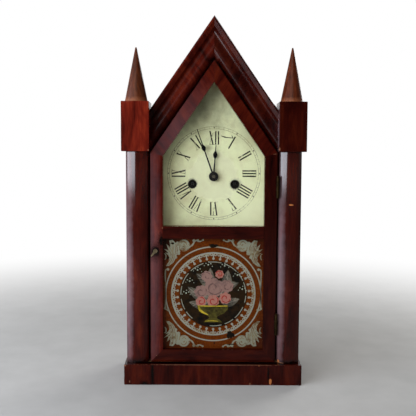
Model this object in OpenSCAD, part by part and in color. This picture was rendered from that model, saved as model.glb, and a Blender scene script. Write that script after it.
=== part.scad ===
// Steeple (sharp Gothic) shelf clock: pointed case between two round-fronted columns with cone finials,
// a glazed door over a painted dial, and a 30-hour spring time-and-strike movement behind it.
// Frame: X right, Y back, Z up. The case front faces -Y and the clock stands on Z = 0.
// Depths named "setback" are measured back from the front of the plinth.

/* [Case] */
// Height of the gable's apex above the shelf
apex_h = 508; // [470:1:560]
// Depth from the front of the plinth to the back of the case
case_d = 106; // [98:1:150]
// Width over the outer faces of the two case sides
case_w = 236; // [226:1:246]
// Steepness of the gable above the horizontal, in degrees
gable_angle = 55.2; // [52:0.1:56]
// Thickness of the case sides and the roof boards
board_t = 8; // [5:0.5:10]
// Thickness of the back board
back_t = 5; // [3:0.5:8]
// Thickness of the front stiles and the gable rails behind the door
frame_t = 14.4; // [12:0.1:18]
// Half of the clear width between the front stiles
opening_half = 82; // [80:0.5:84]
// How far the gable rails reach in from the gable's outer edge
gable_rail_w = 42; // [38:0.5:44]

/* [Plinth] */
// Width of the plinth
plinth_w = 247; // [246:1:270]
// Height of the plinth
plinth_h = 28.7; // [20:0.1:36]
// Thickness of the plinth's front board
plinth_front_t = 14; // [10:0.5:20]
// Thickness of the plinth's side boards
plinth_side_t = 12; // [8:0.5:16]
// Thickness of the case floor
floor_t = 10; // [6:0.5:14]

/* [Columns and finials] */
// Width of each column
column_w = 31; // [28:0.5:32]
// How far the round front of each column stands out from its flat cheeks
column_bulge = 7.5; // [6:0.5:12]
// Distance of each column's axis from the middle of the case
column_x = 105.5; // [105:0.1:107]
// Distance of the columns' upper ends below the apex
block_drop = 183.6; // [179.3:0.1:194.3]
// Setback of each column's front
column_setback = 6.3; // [5:0.1:8]
// Width of each block on top of a column
block_w = 38; // [35:0.1:38]
// Distance of each block's middle from the middle of the case
block_x = 107; // [107:0.1:110]
// Height of each block
block_h = 67.6; // [60:0.1:76]
// Setback of each block's front
block_setback = 2; // [0:0.5:5]
// Height of each cone finial
finial_h = 74; // [60:0.5:90]
// Diameter of each finial's foot
finial_d = 31.6; // [26:0.1:33]
// Diameter of each finial's blunt tip
finial_tip_d = 2.4; // [1:0.1:5]

/* [Gable moulding] */
// Width of the ogee moulding across the rake
moulding_w = 32; // [30:0.5:33]
// Setback of the moulding's raised lip
lip_setback = 12.3; // [11:0.1:14]
// Distance of the lip's crest from the outer edge
lip_crest = 3; // [2:0.5:4]
// Distance of the lip's inner foot from the outer edge
lip_foot = 8; // [7:0.5:9]
// Depth of the cove below the lip's crest
cove_drop = 7.7; // [5:0.1:9]
// Distance of the cove's bottom from the outer edge
cove_at = 12.5; // [11:0.5:14]
// Distance of the roll's crest from the outer edge
roll_at = 24; // [22:0.5:26]
// Drop of the roll's crest below the lip's crest
roll_drop = 3.7; // [2:0.1:5]

/* [Door] */
// Width of the door
door_w = 174; // [170:0.5:174.5]
// Thickness of the door frame
door_t = 14; // [12:0.5:14]
// Setback of the door's front
door_setback = 11; // [9:0.5:11]
// Gap under the door
door_gap = 1; // [0.5:0.1:3]
// Gap between the moulding and the door's rakes
rake_gap = 2.4; // [1:0.1:3]
// Gap between the door's back and the front stiles
door_rest_gap = 0.6; // [0.4:0.1:1.5]
// Width of the door's stiles and rakes
door_frame_w = 16.9; // [14:0.1:19]
// Width of the door's rakes, across the slope
door_rake_w = 16.4; // [14:0.1:18]
// Width of the door's bottom rail
bottom_rail_w = 17; // [12:0.1:24]
// Width of the door's middle rail
mid_rail_w = 17.2; // [14:0.1:22]
// Distance of the middle rail's lower edge below the apex
mid_rail_drop = 303.9; // [302:0.1:313]
// Depth of the glass below the door's front
glass_drop = 8; // [7:0.5:9]
// Thickness of both panes
glass_t = 2; // [1.5:0.1:2.5]
// Width of the rebate that holds the panes
rebate_w = 4; // [3:0.5:5]
// Clearance of a pane in its rebate
glass_clear = 0.3; // [0.2:0.1:0.6]
// Thickness of the glazing strips
strip_t = 3; // [2:0.1:3.5]

/* [Door hinges and latch] */
// Diameter of the hinge knuckles
knuckle_d = 3.8; // [3.4:0.1:4]
// Diameter of the hinge pins
hinge_pin_d = 2; // [1.5:0.1:2.2]
// Height of each hinge
hinge_h = 30; // [24:1:40]
// Height of the lower hinge above the shelf
hinge_low_z = 84; // [60:1:120]
// Distance of the upper hinge below the apex
hinge_high_drop = 232; // [218:1:268]
// Thickness of the hinge leaves
leaf_t = 1; // [0.8:0.1:1.2]
// Distance of the latch's turning shaft from the middle of the case
latch_x = 80.3; // [80:0.1:81]
// Distance of the latch's shaft below the middle rail
latch_drop = 17.3; // [8.1:0.1:34.1]
// Diameter of the latch's shaft
latch_shaft_d = 3; // [2:0.1:3.2]
// Diameter of the latch's button on the door's front
latch_button_d = 6; // [5:0.1:9]
// Reach of the pointed lever on the door's front
latch_lever = 9.5; // [7:0.1:12]
// Reach of the hook behind the door
latch_hook = 8; // [6.5:0.1:9]

/* [Dial and hands] */
// Distance of the hand arbor below the apex
hand_drop = 218.3; // [216:0.1:221]
// Setback of the dial's front
dial_setback = 37.2; // [34:0.1:39]
// Thickness of the dial sheet
dial_t = 0.8; // [0.5:0.1:1.2]
// Distance of the dial's lower edge below the apex
dial_foot_drop = 296; // [292:0.5:301]
// Half of the distance between the two winding holes
winding_x = 30; // [29:0.1:32]
// Distance of the winding holes below the hand arbor
winding_drop = 11.1; // [8.7:0.1:13.7]
// Diameter of the winding holes in the dial
winding_hole_d = 12.6; // [9:0.1:14]
// Reach of the minute hand
minute_reach = 70; // [60:0.5:74]
// Reach of the hour hand
hour_reach = 44; // [36:0.5:50]
// Width of each hand's stem at its boss
stem_w = 2.4; // [1.2:0.1:3]
// Width of each hand at its point
point_w = 1.1; // [0.6:0.1:1.8]
// Diameter of the hour hand's round boss
hour_boss_d = 13.4; // [10:0.1:14]
// Distance of the minute hand's front before the dial
minute_hand_rise = 7.2; // [6.8:0.1:8]
// Distance of the hour hand's front before the dial
hour_hand_rise = 4.6; // [4:0.1:5]
// Width of the spade on each hand
spade_w = 6.4; // [5:0.1:8]
// Thickness of both hands
hand_t = 0.7; // [0.5:0.1:1]
// Turn of the minute hand to the left of twelve, in degrees
minute_at = 19.6; // [-180:0.1:180]
// Turn of the hour hand to the right of twelve, in degrees
hour_at = 4.1; // [-180:0.1:180]

/* [Movement] */
// Distance from the front of the dial to the front plate
dial_to_plate = 14.8; // [13:0.1:18]
// Thickness of each brass plate
plate_t = 1.6; // [1.2:0.1:2]
// Clear distance between the plates
plate_gap = 29; // [29:0.5:31]
// Half width of the plates
plate_half_w = 54; // [53:0.5:60]
// Distance of the plates' lower edge below the hand arbor
plate_foot_drop = 53.7; // [51.7:0.5:61.7]
// Distance of the plates' upper edge above the hand arbor
plate_top_rise = 57.3; // [56.3:0.5:62.3]
// Diameter of the pillars between the plates
pillar_d = 5; // [4:0.1:6]
// Outer diameter of the wound mainsprings
spring_d = 39; // [30:0.5:39]
// Thickness of the mainspring strip
spring_strip = 0.5; // [0.4:0.05:0.8]
// Turns of each mainspring
spring_turns = 6; // [4:1:7]
// Teeth of the two great wheels
great_teeth = 72; // [60:1:80]
// Trundles of the centre wheel's lantern pinion
centre_leaves = 7; // [6:1:8]
// Teeth of the centre wheel
centre_teeth = 60; // [48:1:66]
// Teeth of the third wheel
third_teeth = 54; // [42:1:60]
// Trundles of the third and escape pinions
pinion_leaves = 6; // [6:1:8]
// Module of the centre wheel, tooth pitch divided by pi
centre_module = 0.6; // [0.5:0.01:0.62]
// Module of the third wheel
third_module = 0.5; // [0.45:0.01:0.52]
// Teeth of the escape wheel
escape_teeth = 42; // [36:1:48]
// Diameter of the escape wheel
escape_d = 26; // [22:0.5:27]
// Height of the verge above the escape wheel's axis
verge_rise = 22; // [20:0.5:24]
// Sideways offset of the pendulum from the hand arbor
pendulum_x = 9; // [8:0.1:11]
// Height of the pendulum's pivot above the hand arbor
pendulum_rise = 50.3; // [48.3:0.5:53.3]
// Distance from the pendulum's pivot to the middle of its bob
pendulum_l = 222; // [205:1:232]
// Diameter of the pendulum bob
bob_d = 40; // [30:0.5:46]
// Thickness of the pendulum bob
bob_t = 8; // [5:0.5:9]

/* [Strike] */
// Distance of the gong's middle to the right of the case's middle
gong_x = 14; // [8:0.5:20]
// Height of the gong's middle above the shelf
gong_z = 84; // [80:0.5:96]
// Turns of the gong's coil
gong_turns = 3.5; // [2:0.25:4]
// Diameter of the gong's wire
gong_wire = 3; // [2:0.1:3.2]
// Outer diameter of the gong's coil
gong_d = 84; // [76:0.5:88]
// Diameter of the hammer's head
hammer_d = 9; // [6:0.1:11]

/* [Hidden] */
$fn = 48;

// Colours
mahogany = "#5a2018";
finial_wood = "#4a2a1c";
pine = "#b08a58";
brass = "#b5924c";
steel = "#8d9093";
iron = "#3a3a3c";
black = "#18181a";
pane = "#9fb4b0";
cream = "#e6e0cc";

// Small fits, used everywhere
joint_gap = 0.1;          // glued joints whose faces are curved, slanted or mitred
run_fit = 0.05;           // radial clearance of an arbor in its hole
screw_fit = 0.05;         // radial clearance of a screw in its hole
move_gap = 0.3;           // clearance beside a moving part
eps = 0.01;

// Places of the case
front_y = -case_d / 2;
column_round = (pow(column_w / 2, 2) + pow(column_bulge, 2)) / (2 * column_bulge);
column_axis = column_setback + column_round;
block_z = apex_h - block_drop;
column_h = block_z - plinth_h;
mid_rail_z = apex_h - mid_rail_drop;
latch_z = mid_rail_z - latch_drop;
hinge_high_z = apex_h - hinge_high_drop;
dial_foot_z = apex_h - dial_foot_drop;
hand_z = apex_h - hand_drop;
winding_z = hand_z - winding_drop;
plate_foot_z = hand_z - plate_foot_drop;
plate_top_z = hand_z + plate_top_rise;
pendulum_z = hand_z + pendulum_rise;
stile_setback = door_setback + door_t + door_rest_gap;
box_setback = stile_setback + frame_t;
block_in = block_x - block_w / 2;
back_setback = case_d - back_t;
side_in = case_w / 2 - board_t;
roof_inset = 1;

// Slanted lines of the gable: drop(t) is the height lost by a line t inside the outer edge
function drop(t) = t / cos(gable_angle);
function rake_z(x, t) = apex_h - drop(t) - abs(x) * tan(gable_angle);
function rake_x(z, t) = (apex_h - drop(t) - z) / tan(gable_angle);
// House shape, counted from its lower left corner, with its slopes t inside the gable's edge
function house(half, z0, t) =
    [[-half, z0], [half, z0], [half, rake_z(half, t)], [0, rake_z(0, t)], [-half, rake_z(half, t)]];

// Extrudes an outline drawn in X and Z over a depth that starts at a setback
module slab(setback, depth) {
    translate([0, front_y + setback + depth, 0])
        rotate([90, 0, 0])
            linear_extrude(depth)
                children();
}

// Box from its left, setback and lower corner
module box(x, setback, z, w, depth, h) {
    translate([x, front_y + setback, z])
        cube([w, depth, h]);
}

// Round bar along the depth of the case
module bar(x, z, d, setback, depth) {
    translate([x, front_y + setback + depth, z])
        rotate([90, 0, 0])
            cylinder(d = d, h = depth);
}

// ---------- Case ----------
module plinth_front() {
    color(mahogany)
        box(-plinth_w / 2, 0, 0, plinth_w, plinth_front_t, plinth_h);
}

module plinth_side(side) {
    x = side > 0 ? plinth_w / 2 - plinth_side_t : -plinth_w / 2;
    color(mahogany)
        box(x, plinth_front_t, 0, plinth_side_t, case_d - plinth_front_t, plinth_h);
}

module bottom_board() {
    half = plinth_w / 2 - plinth_side_t;
    color(pine)
        box(-half, plinth_front_t, plinth_h - floor_t, 2 * half, case_d - plinth_front_t, floor_t);
}

module case_side(side) {
    t = roof_inset + board_t;
    outer = case_w / 2;
    color(mahogany)
        slab(box_setback, case_d - box_setback)
            polygon([for (p = [[side_in, plinth_h], [outer, plinth_h],
                               [outer, rake_z(outer, t)], [side_in, rake_z(side_in, t)]])
                     [side * p[0], p[1]]]);
}

// The keeper's bed and the mortise for the hook, in the left stile's inner edge
module keeper_cut() {
    box(-opening_half - keeper_w, stile_setback - eps, latch_z - keeper_h / 2,
        keeper_w + eps, leaf_t + eps, keeper_h);
    box(-opening_half - hook_room, stile_setback - eps, latch_z - keeper_h / 2 + 1,
        hook_room + eps, keeper_depth, keeper_h - 2);
}

// Beds of the hinges' feet in the right stile's front
module foot_cut(z) {
    box(opening_half - eps, stile_setback - eps, z - hinge_h / 2 - joint_gap,
        case_leaf_x + leaf_t + joint_gap - opening_half + eps, leaf_t + joint_gap + eps,
        hinge_h + 2 * joint_gap);
}

module front_stile(side) {
    color(mahogany)
        difference() {
            box(side > 0 ? opening_half : -case_w / 2, stile_setback, plinth_h,
                case_w / 2 - opening_half, frame_t, column_h);
            if (side < 0) keeper_cut();
            if (side > 0) for (z = hinge_zs) foot_cut(z);
        }
}

module gable_rails() {
    x_in = rake_x(block_z, gable_rail_w);
    half = joint_gap / 2;
    color(mahogany)
        for (side = [-1, 1])
            slab(stile_setback, frame_t)
                polygon([for (p = [[block_in, block_z], [block_in, rake_z(block_in, 0)],
                                   [half, rake_z(half, 0)], [half, rake_z(half, gable_rail_w)],
                                   [x_in, block_z]])
                         [side * p[0], p[1]]]);
}

// Ogee section of the gable moulding: how far its face lies behind the plinth's front,
// t inside the outer edge. A raised lip, a cove, and a roll that falls to the rail.
cove_setback = lip_setback + cove_drop;
roll_setback = lip_setback + roll_drop;
function cove(t) = let (foot = lip_setback + lip_fall)
    foot + (cove_setback - foot) * sin(90 * (t - lip_foot) / (cove_at - lip_foot));
function swell(t) = (cove_setback + roll_setback) / 2
    + (cove_setback - roll_setback) / 2 * cos(180 * (t - cove_at) / (roll_at - cove_at));
function roll(t) = stile_setback
    - (stile_setback - roll_setback) * sqrt(max(0, 1 - pow((t - roll_at) / (moulding_w - roll_at), 2)));
lip_fall = 2.9;
curve_steps = 8;
function moulding_section() = concat(
    [[0, stile_setback], [0, lip_setback + lip_crest], [lip_crest / 3, lip_setback + lip_crest / 3],
     [lip_crest, lip_setback]],
    [for (i = [0:curve_steps / 2 - 1]) let (t = lip_foot + (cove_at - lip_foot) * i / (curve_steps / 2))
        [t, cove(t)]],
    [for (i = [0:curve_steps - 1]) let (t = cove_at + (roll_at - cove_at) * i / curve_steps)
        [t, swell(t)]],
    [for (i = [0:curve_steps]) let (t = roll_at + (moulding_w - roll_at) * sin(90 * i / curve_steps))
        [t, roll(t)]]
);

module gable_moulding(side) {
    reach = apex_h;
    color(mahogany)
        mirror([side > 0 ? 0 : 1, 0, 0])
            intersection() {
                translate([0, front_y, apex_h])
                    rotate([0, 90 + gable_angle, 0])
                        translate([0, 0, -reach / 2])
                            linear_extrude(reach)
                                polygon(moulding_section());
                box(0, 0, 0, block_in, case_d, apex_h + 1);
            }
}

module roof_board(side) {
    outer = case_w / 2;
    t = roof_inset + board_t;
    color(mahogany)
        slab(box_setback, case_d - box_setback)
            polygon([for (p = [[0, rake_z(0, t)], [outer, rake_z(outer, t)],
                               [outer, rake_z(outer, roof_inset)], [0, rake_z(0, roof_inset)]])
                     [side * p[0], p[1]]]);
}

module back_board() {
    color(pine)
        slab(back_setback, back_t)
            polygon(house(side_in - joint_gap, plinth_h, roof_inset + board_t + joint_gap));
}

// Column with a flattened round front, straight cheeks and a flat against the front stile
module column(side) {
    color(mahogany)
        intersection() {
            translate([side * column_x, front_y + column_axis, plinth_h])
                cylinder(r = column_round, h = column_h);
            box(side * column_x - column_w / 2, 0, 0, column_w, stile_setback, apex_h);
        }
}

module column_block(side) {
    color(mahogany)
        box(side * block_x - block_w / 2, block_setback, block_z,
            block_w, box_setback - block_setback, block_h);
}

module finial(side) {
    shoulder = finial_h - finial_tip_d / 2;
    color(finial_wood)
        translate([side * block_x, front_y + (block_setback + box_setback) / 2, block_z + block_h]) {
            cylinder(d1 = finial_d, d2 = finial_tip_d, h = shoulder);
            translate([0, 0, shoulder])
                sphere(d = finial_tip_d);
        }
}

// ---------- Hinges and latch ----------
hinge_zs = [hinge_low_z, hinge_high_z];
hinge_out = 1.3;
hinge_fore = 1;
hinge_x = door_w / 2 + hinge_out;
hinge_setback = door_setback - hinge_fore;
case_leaf_x = door_w / 2 + 1;
leaf_root = door_setback + 1.4;
door_leaf_depth = door_t - 3;
knuckle_gap = 0.3;
keeper_w = 10;
keeper_h = 24;
keeper_depth = 7;
hook_room = 7.5;
keeper_lip = 1.2;

// The case's leaf: two outer knuckles, the pin, a web beside the door and a foot let into the stile
module case_hinge_leaf(z) {
    third = hinge_h / 3;
    for (k = [-1, 1]) {
        translate([hinge_x, front_y + hinge_setback, z + k * third - third / 2])
            cylinder(d = knuckle_d, h = third);
        box(case_leaf_x, hinge_setback, z + k * third - third / 2,
            leaf_t, leaf_root - hinge_setback + eps, third);
    }
    translate([hinge_x, front_y + hinge_setback, z - hinge_h / 2])
        cylinder(d = hinge_pin_d, h = hinge_h);
    box(case_leaf_x, leaf_root, z - hinge_h / 2, leaf_t, stile_setback - leaf_root + leaf_t, hinge_h);
    box(opening_half + move_gap, stile_setback, z - hinge_h / 2,
        case_leaf_x - opening_half - move_gap + eps, leaf_t, hinge_h);
}

module case_hinge_leaves() {
    color(brass)
        for (z = hinge_zs) case_hinge_leaf(z);
}

// The door's leaf: the middle knuckle and a plate let into the door's edge
module door_hinge_leaf(z) {
    third = hinge_h / 3;
    middle = third - 2 * knuckle_gap;
    difference() {
        union() {
            translate([hinge_x, front_y + hinge_setback, z - middle / 2])
                cylinder(d = knuckle_d, h = middle);
            box(door_w / 2 - leaf_t, hinge_setback, z - middle / 2,
                leaf_t, leaf_root - hinge_setback + eps, middle);
            box(door_w / 2 - leaf_t, leaf_root, z - hinge_h / 2,
                leaf_t, door_setback + door_leaf_depth - leaf_root, hinge_h);
        }
        translate([hinge_x, front_y + hinge_setback, z - middle])
            cylinder(d = hinge_pin_d + 2 * run_fit, h = 2 * middle);
    }
}

module door_hinge_leaves() {
    color(brass)
        for (z = hinge_zs) door_hinge_leaf(z);
}

// Room for one hinge in the door's right edge
module door_hinge_cut(z) {
    h = hinge_h + 2 * knuckle_gap;
    box(door_w / 2 - leaf_t - joint_gap, door_setback - eps, z - h / 2,
        leaf_t + joint_gap + eps, door_leaf_depth + joint_gap + eps, h);
    translate([hinge_x, front_y + hinge_setback, z - h / 2])
        cylinder(d = knuckle_d + 2 * move_gap, h = h);
}

module latch_keeper() {
    color(brass)
        box(-opening_half - keeper_w + joint_gap, stile_setback, latch_z - keeper_h / 2 + joint_gap,
            keeper_w - joint_gap - keeper_lip, leaf_t, keeper_h - 2 * joint_gap);
}

// Pointer or hook that reaches out from the latch's shaft
module latch_arm(angle, reach, root_w, tip_w) {
    translate([-latch_x, latch_z])
        rotate(angle)
            polygon([[0, -root_w / 2], [reach, -tip_w / 2], [reach, tip_w / 2], [0, root_w / 2]]);
}

latch_rest = 231;         // the lever's direction at rest, seen from the front
hook_rest = 280;          // the hook's direction at rest
hook_t = 1.2;
module latch_turn() {
    button = 2.2;
    lever_t = 1.4;
    lever_w = 4;
    hook_at = stile_setback + leaf_t + 2 * move_gap;
    color(brass) {
        bar(-latch_x, latch_z, latch_button_d, door_setback - button - move_gap, button);
        slab(door_setback - lever_t - move_gap, lever_t)
            latch_arm(latch_rest, latch_lever, lever_w, lever_t);
        bar(-latch_x, latch_z, latch_shaft_d, door_setback - button,
            hook_at + hook_t - door_setback + button);
        slab(hook_at, hook_t)
            latch_arm(hook_rest, latch_hook, latch_shaft_d, 2.4);
    }
}

// ---------- Door ----------
door_foot = plinth_h + door_gap;
door_edge_t = moulding_w + rake_gap;
door_half = door_w / 2;
sight_half = door_half - door_frame_w;
sight_foot = door_foot + bottom_rail_w;
sight_t = door_edge_t + door_rake_w;
glass_setback = door_setback + glass_drop;
strip_setback = glass_setback + glass_t;
mid_rail_top = mid_rail_z + mid_rail_w;

// One side of the door frame between two house shapes: 0 bottom, 1 right, 2 and 3 rakes, 4 left
module frame_side(side, grow) {
    outer = house(door_half, door_foot, door_edge_t);
    inner = house(sight_half + grow, sight_foot - grow, sight_t - grow);
    next = (side + 1) % 5;
    polygon([outer[side], outer[next], inner[next], inner[side]]);
}

module door_side(side) {
    slab(door_setback, glass_drop)
        frame_side(side, 0);
    slab(glass_setback, door_t - glass_drop)
        frame_side(side, rebate_w);
}

module door_stile_right() {
    color(mahogany)
        difference() {
            door_side(1);
            for (z = hinge_zs) door_hinge_cut(z);
        }
}

module door_stile_left() {
    color(mahogany)
        difference() {
            door_side(4);
            bar(-latch_x, latch_z, latch_shaft_d + 2 * run_fit, door_setback - 1, door_t + 2);
        }
}

module door_rake_right() {
    color(mahogany)
        door_side(2);
}

module door_rake_left() {
    color(mahogany)
        door_side(3);
}

module door_bottom_rail() {
    color(mahogany)
        door_side(0);
}

module door_mid_rail() {
    back_half = sight_half + rebate_w;
    color(mahogany) {
        box(-sight_half, door_setback, mid_rail_z, 2 * sight_half, glass_drop, mid_rail_w);
        box(-back_half, glass_setback, mid_rail_z + rebate_w,
            2 * back_half, door_t - glass_drop, mid_rail_w - 2 * rebate_w);
    }
}

// Outlines of the panes, drawn in by a margin from the rebate
module upper_light(margin) {
    grow = rebate_w - margin;
    polygon(house(sight_half + grow, mid_rail_top - grow, sight_t - grow));
}

module lower_light(margin) {
    grow = rebate_w - margin;
    translate([-sight_half - grow, sight_foot - grow])
        square([2 * (sight_half + grow), mid_rail_z - sight_foot + 2 * grow]);
}

module dial_glass() {
    color(pane, 0.4)
        slab(glass_setback, glass_t)
            upper_light(glass_clear);
}

module tablet_glass() {
    color("#6b5636")
        slab(glass_setback, glass_t)
            lower_light(glass_clear);
}

module glazing_strips() {
    color(pine)
        slab(strip_setback, strip_t) {
            difference() {
                upper_light(glass_clear);
                upper_light(rebate_w);
            }
            difference() {
                lower_light(glass_clear);
                lower_light(rebate_w);
            }
        }
}

// ---------- Dial and hands ----------
dial_edge_t = gable_rail_w + 2;
dial_half = opening_half - 0.4;
dial_back = dial_setback + dial_t;
pipe_d = 6;
dial_eye_d = 9;
batten_t = 10;
screw_d = 2.6;
screw_head_d = 5;
screw_l = 9;
screw_hole = screw_d + 2 * screw_fit;
minute_hand_setback = dial_setback - minute_hand_rise;
hour_hand_setback = dial_setback - hour_hand_rise;
arbor_d = 1.6;
minute_boss_d = 7;
collet_t = 0.9;
collet_front = minute_hand_setback - collet_t;
taper_d = 0.8;
dial_screw_rises = [10, 90];
dial_screw_in = 4.6;
batten_l = 104;
batten_below = 4;         // how far the battens reach below the dial
batten_w = 8;             // width of a batten inside the opening
batten_lap = 10;          // width of a batten on the stile's back
dial_screws = [for (side = [-1, 1], rise = dial_screw_rises)
    [side * (dial_half - dial_screw_in), dial_foot_z + rise]];

module dial_plate() {
    color(cream)
        difference() {
            slab(dial_setback, dial_t)
                polygon(house(dial_half, dial_foot_z, dial_edge_t));
            bar(0, hand_z, dial_eye_d, dial_setback - 1, dial_t + 2);
            for (side = [-1, 1])
                bar(side * winding_x, winding_z, winding_hole_d, dial_setback - 1, dial_t + 2);
            for (p = dial_screws)
                bar(p[0], p[1], screw_hole, dial_setback - 1, dial_t + 2);
        }
}

// Rabbeted battens on the stiles' backs, which carry the dial
module dial_battens() {
    z0 = dial_foot_z - batten_below;
    inner = opening_half - batten_w;
    color(pine)
        for (side = [-1, 1])
            difference() {
                union() {
                    box(side > 0 ? inner : -opening_half, dial_back, z0,
                        batten_w, box_setback + batten_t - dial_back, batten_l);
                    box(side > 0 ? opening_half - eps : -opening_half - batten_lap, box_setback, z0,
                        batten_lap + eps, batten_t, batten_l);
                }
                for (p = dial_screws)
                    bar(p[0], p[1], screw_hole, dial_back - 1, screw_l + 2);
            }
}

// Spade hand pointing up, of a thin tapering stem and a leaf
module spade_hand(reach, leaf_at, leaf_l, boss_d, eye_d) {
    leaf = [[leaf_at - leaf_l / 2, 0.1], [leaf_at - 0.28 * leaf_l, 0.62], [leaf_at, 1],
            [leaf_at + 0.2 * leaf_l, 0.8], [leaf_at + leaf_l / 2, 0.12]];
    slab(0, hand_t)
        difference() {
            union() {
                circle(d = boss_d);
                polygon([[-stem_w / 2, 0], [stem_w / 2, 0], [point_w / 2, reach], [-point_w / 2, reach]]);
                polygon(concat([for (p = leaf) [p[1] * spade_w / 2, p[0]]],
                               [for (i = [len(leaf) - 1:-1:0]) [-leaf[i][1] * spade_w / 2, leaf[i][0]]]));
            }
            circle(d = eye_d);
        }
}

module minute_hand() {
    color(black)
        translate([0, minute_hand_setback, hand_z])
            rotate([0, -minute_at, 0])
                spade_hand(minute_reach, 0.6 * minute_reach, 0.155 * minute_reach, minute_boss_d,
                           arbor_d + 2 * run_fit);
}

module hour_hand() {
    color(black)
        translate([0, hour_hand_setback, hand_z])
            rotate([0, hour_at, 0])
                spade_hand(hour_reach, 0.69 * hour_reach, 0.28 * hour_reach, hour_boss_d, pipe_d - 2);
}

// Brass collet and taper pin that hold the minute hand on its arbor
module hand_collet() {
    collet_d = 4.4;
    front = collet_front;
    color(brass) {
        difference() {
            bar(0, hand_z, collet_d, front, collet_t);
            bar(0, hand_z, arbor_d + 2 * run_fit, front - 1, collet_t + 2);
        }
        translate([-2.4, front_y + front - 0.4, hand_z])
            rotate([0, 90, 0])
                cylinder(d1 = taper_d, d2 = 0.6 * taper_d, h = 4.8);
    }
}

// ---------- Wheels ----------
plate_setback = dial_setback + dial_to_plate;
gap_setback = plate_setback + plate_t;
back_plate_setback = gap_setback + plate_gap;
plate_back = back_plate_setback + plate_t;
trundle_share = 0.34;     // trundle diameter over the tooth pitch
cap_gap = 0.3;            // between a wheel's face and the pinion's caps

centre_at = [0, hand_z];
time_at = [winding_x, winding_z];
strike_at = [-winding_x, winding_z];
great_distance = norm(time_at - centre_at);
great_module = 2 * great_distance / (great_teeth + centre_leaves);
escape_at = [pendulum_x, pendulum_z - verge_rise];
pivot_at = [pendulum_x, pendulum_z];

// Point at distances a and b from two centres, to the left of the line from p to q
function third_corner(p, q, a, b) = let (
    d = norm(q - p), u = (q - p) / d, along = (a * a - b * b + d * d) / (2 * d),
    up = sqrt(a * a - along * along))
    p + along * u + up * [-u[1], u[0]];
function heading(p, q) = atan2(q[1] - p[1], q[0] - p[0]);

third_at = third_corner(centre_at, escape_at, centre_module * (centre_teeth + pinion_leaves) / 2,
                        third_module * (third_teeth + pinion_leaves) / 2);

// Toothed outline, with tooth 0 pointing along +X. The slender teeth run between round trundles.
module teeth(m, n, tip = 1.0, root = 0.9) {
    r = m * n / 2;
    step = 360 / n;
    foot = 0.24;
    crown = 0.09;
    polygon([for (i = [0:n - 1], k = [[-foot, r - root * m], [-crown, r + tip * m],
                                      [crown, r + tip * m], [foot, r - root * m]])
             let (a = (i + k[0]) * step) k[1] * [cos(a), sin(a)]]);
}

// Four windows between the rim and the hub of a wheel
module crossings(rim_r, hub_r, spoke_w) {
    difference() {
        circle(r = rim_r);
        circle(r = hub_r);
        for (a = [0, 90])
            rotate(a)
                square([spoke_w, 2 * rim_r + 1], center = true);
    }
}

// Toothed wheel at a point of the movement, with a tooth pointing at an angle
module wheel(at, m, n, angle, setback, thick, bore_d, rim = 2.6, hub_r = 3.4, spoke_w = 2.2) {
    difference() {
        translate([at[0], 0, at[1]])
            slab(setback, thick)
                rotate(angle)
                    difference() {
                        teeth(m, n);
                        crossings(m * n / 2 - rim, hub_r, spoke_w);
                    }
        if (bore_d > 0)
            bar(at[0], at[1], bore_d, setback - 1, thick + 2);
    }
}

// Lantern pinion: trundles between two caps, with a gap between trundles facing an angle
module lantern(at, m, n, angle, setback, depth, cap_t, bore_d) {
    trundle_d = trundle_share * PI * m;
    cap_d = m * n + trundle_d + 0.7;
    difference() {
        union() {
            for (s = [setback, setback + depth - cap_t])
                bar(at[0], at[1], cap_d, s, cap_t);
            for (i = [0:n - 1]) {
                a = angle + (i + 0.5) * 360 / n;
                bar(at[0] + m * n / 2 * cos(a), at[1] + m * n / 2 * sin(a), trundle_d,
                    setback, depth);
            }
        }
        if (bore_d > 0)
            bar(at[0], at[1], bore_d, setback - 1, depth + 2);
    }
}

// Places along the depth of the movement
hour_wheel_s = gap_setback + 1.4;
motion_wheel_s = gap_setback + 3;
great_s = gap_setback + 4.9;
great_t = 2;
spring_s = gap_setback + 9.4;
spring_h = 16;
third_s = gap_setback + 16.4;
escape_s = gap_setback + 8.4;
centre_s = gap_setback + 26.6;
wheel_t = 1;
motion_module = 0.5;
cannon_teeth = 10;
minute_teeth = 30;
minute_leaves = 8;
hour_teeth = 32;
motion_at = centre_at + motion_module * (cannon_teeth + minute_teeth) / 2
    * [cos(-45), sin(-45)];

// Hand arbor with the cannon pinion, turning inside the centre wheel's pipe
module minute_arbor() {
    tip = minute_hand_setback - 1.7;
    color(steel) {
        difference() {
            bar(0, hand_z, arbor_d, tip, back_plate_setback + plate_t - tip);
            translate([-arbor_d, front_y + collet_front - 0.4, hand_z])
                rotate([0, 90, 0])
                    cylinder(d = taper_d + 2 * run_fit, h = 2 * arbor_d);
        }
        translate([0, 0, hand_z])
            slab(motion_wheel_s - 0.2, wheel_t + 0.4)
                rotate(heading(centre_at, motion_at) + 180 / cannon_teeth)
                    teeth(motion_module, cannon_teeth, 0.8, 1.3);
    }
}

module hour_wheel() {
    front = hour_hand_setback - 0.6;
    color(brass) {
        difference() {
            union() {
                bar(0, hand_z, pipe_d, hour_hand_setback + hand_t, hour_wheel_s - hour_hand_setback);
                bar(0, hand_z, pipe_d - 2, front, hour_wheel_s - front);
            }
            bar(0, hand_z, arbor_d + 0.4, front - 1, hour_wheel_s - front + 3);
        }
        wheel(centre_at, motion_module, hour_teeth, heading(centre_at, motion_at), hour_wheel_s,
              wheel_t, arbor_d + 0.4, 1.6, 3.6, 1.4);
    }
}

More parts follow.
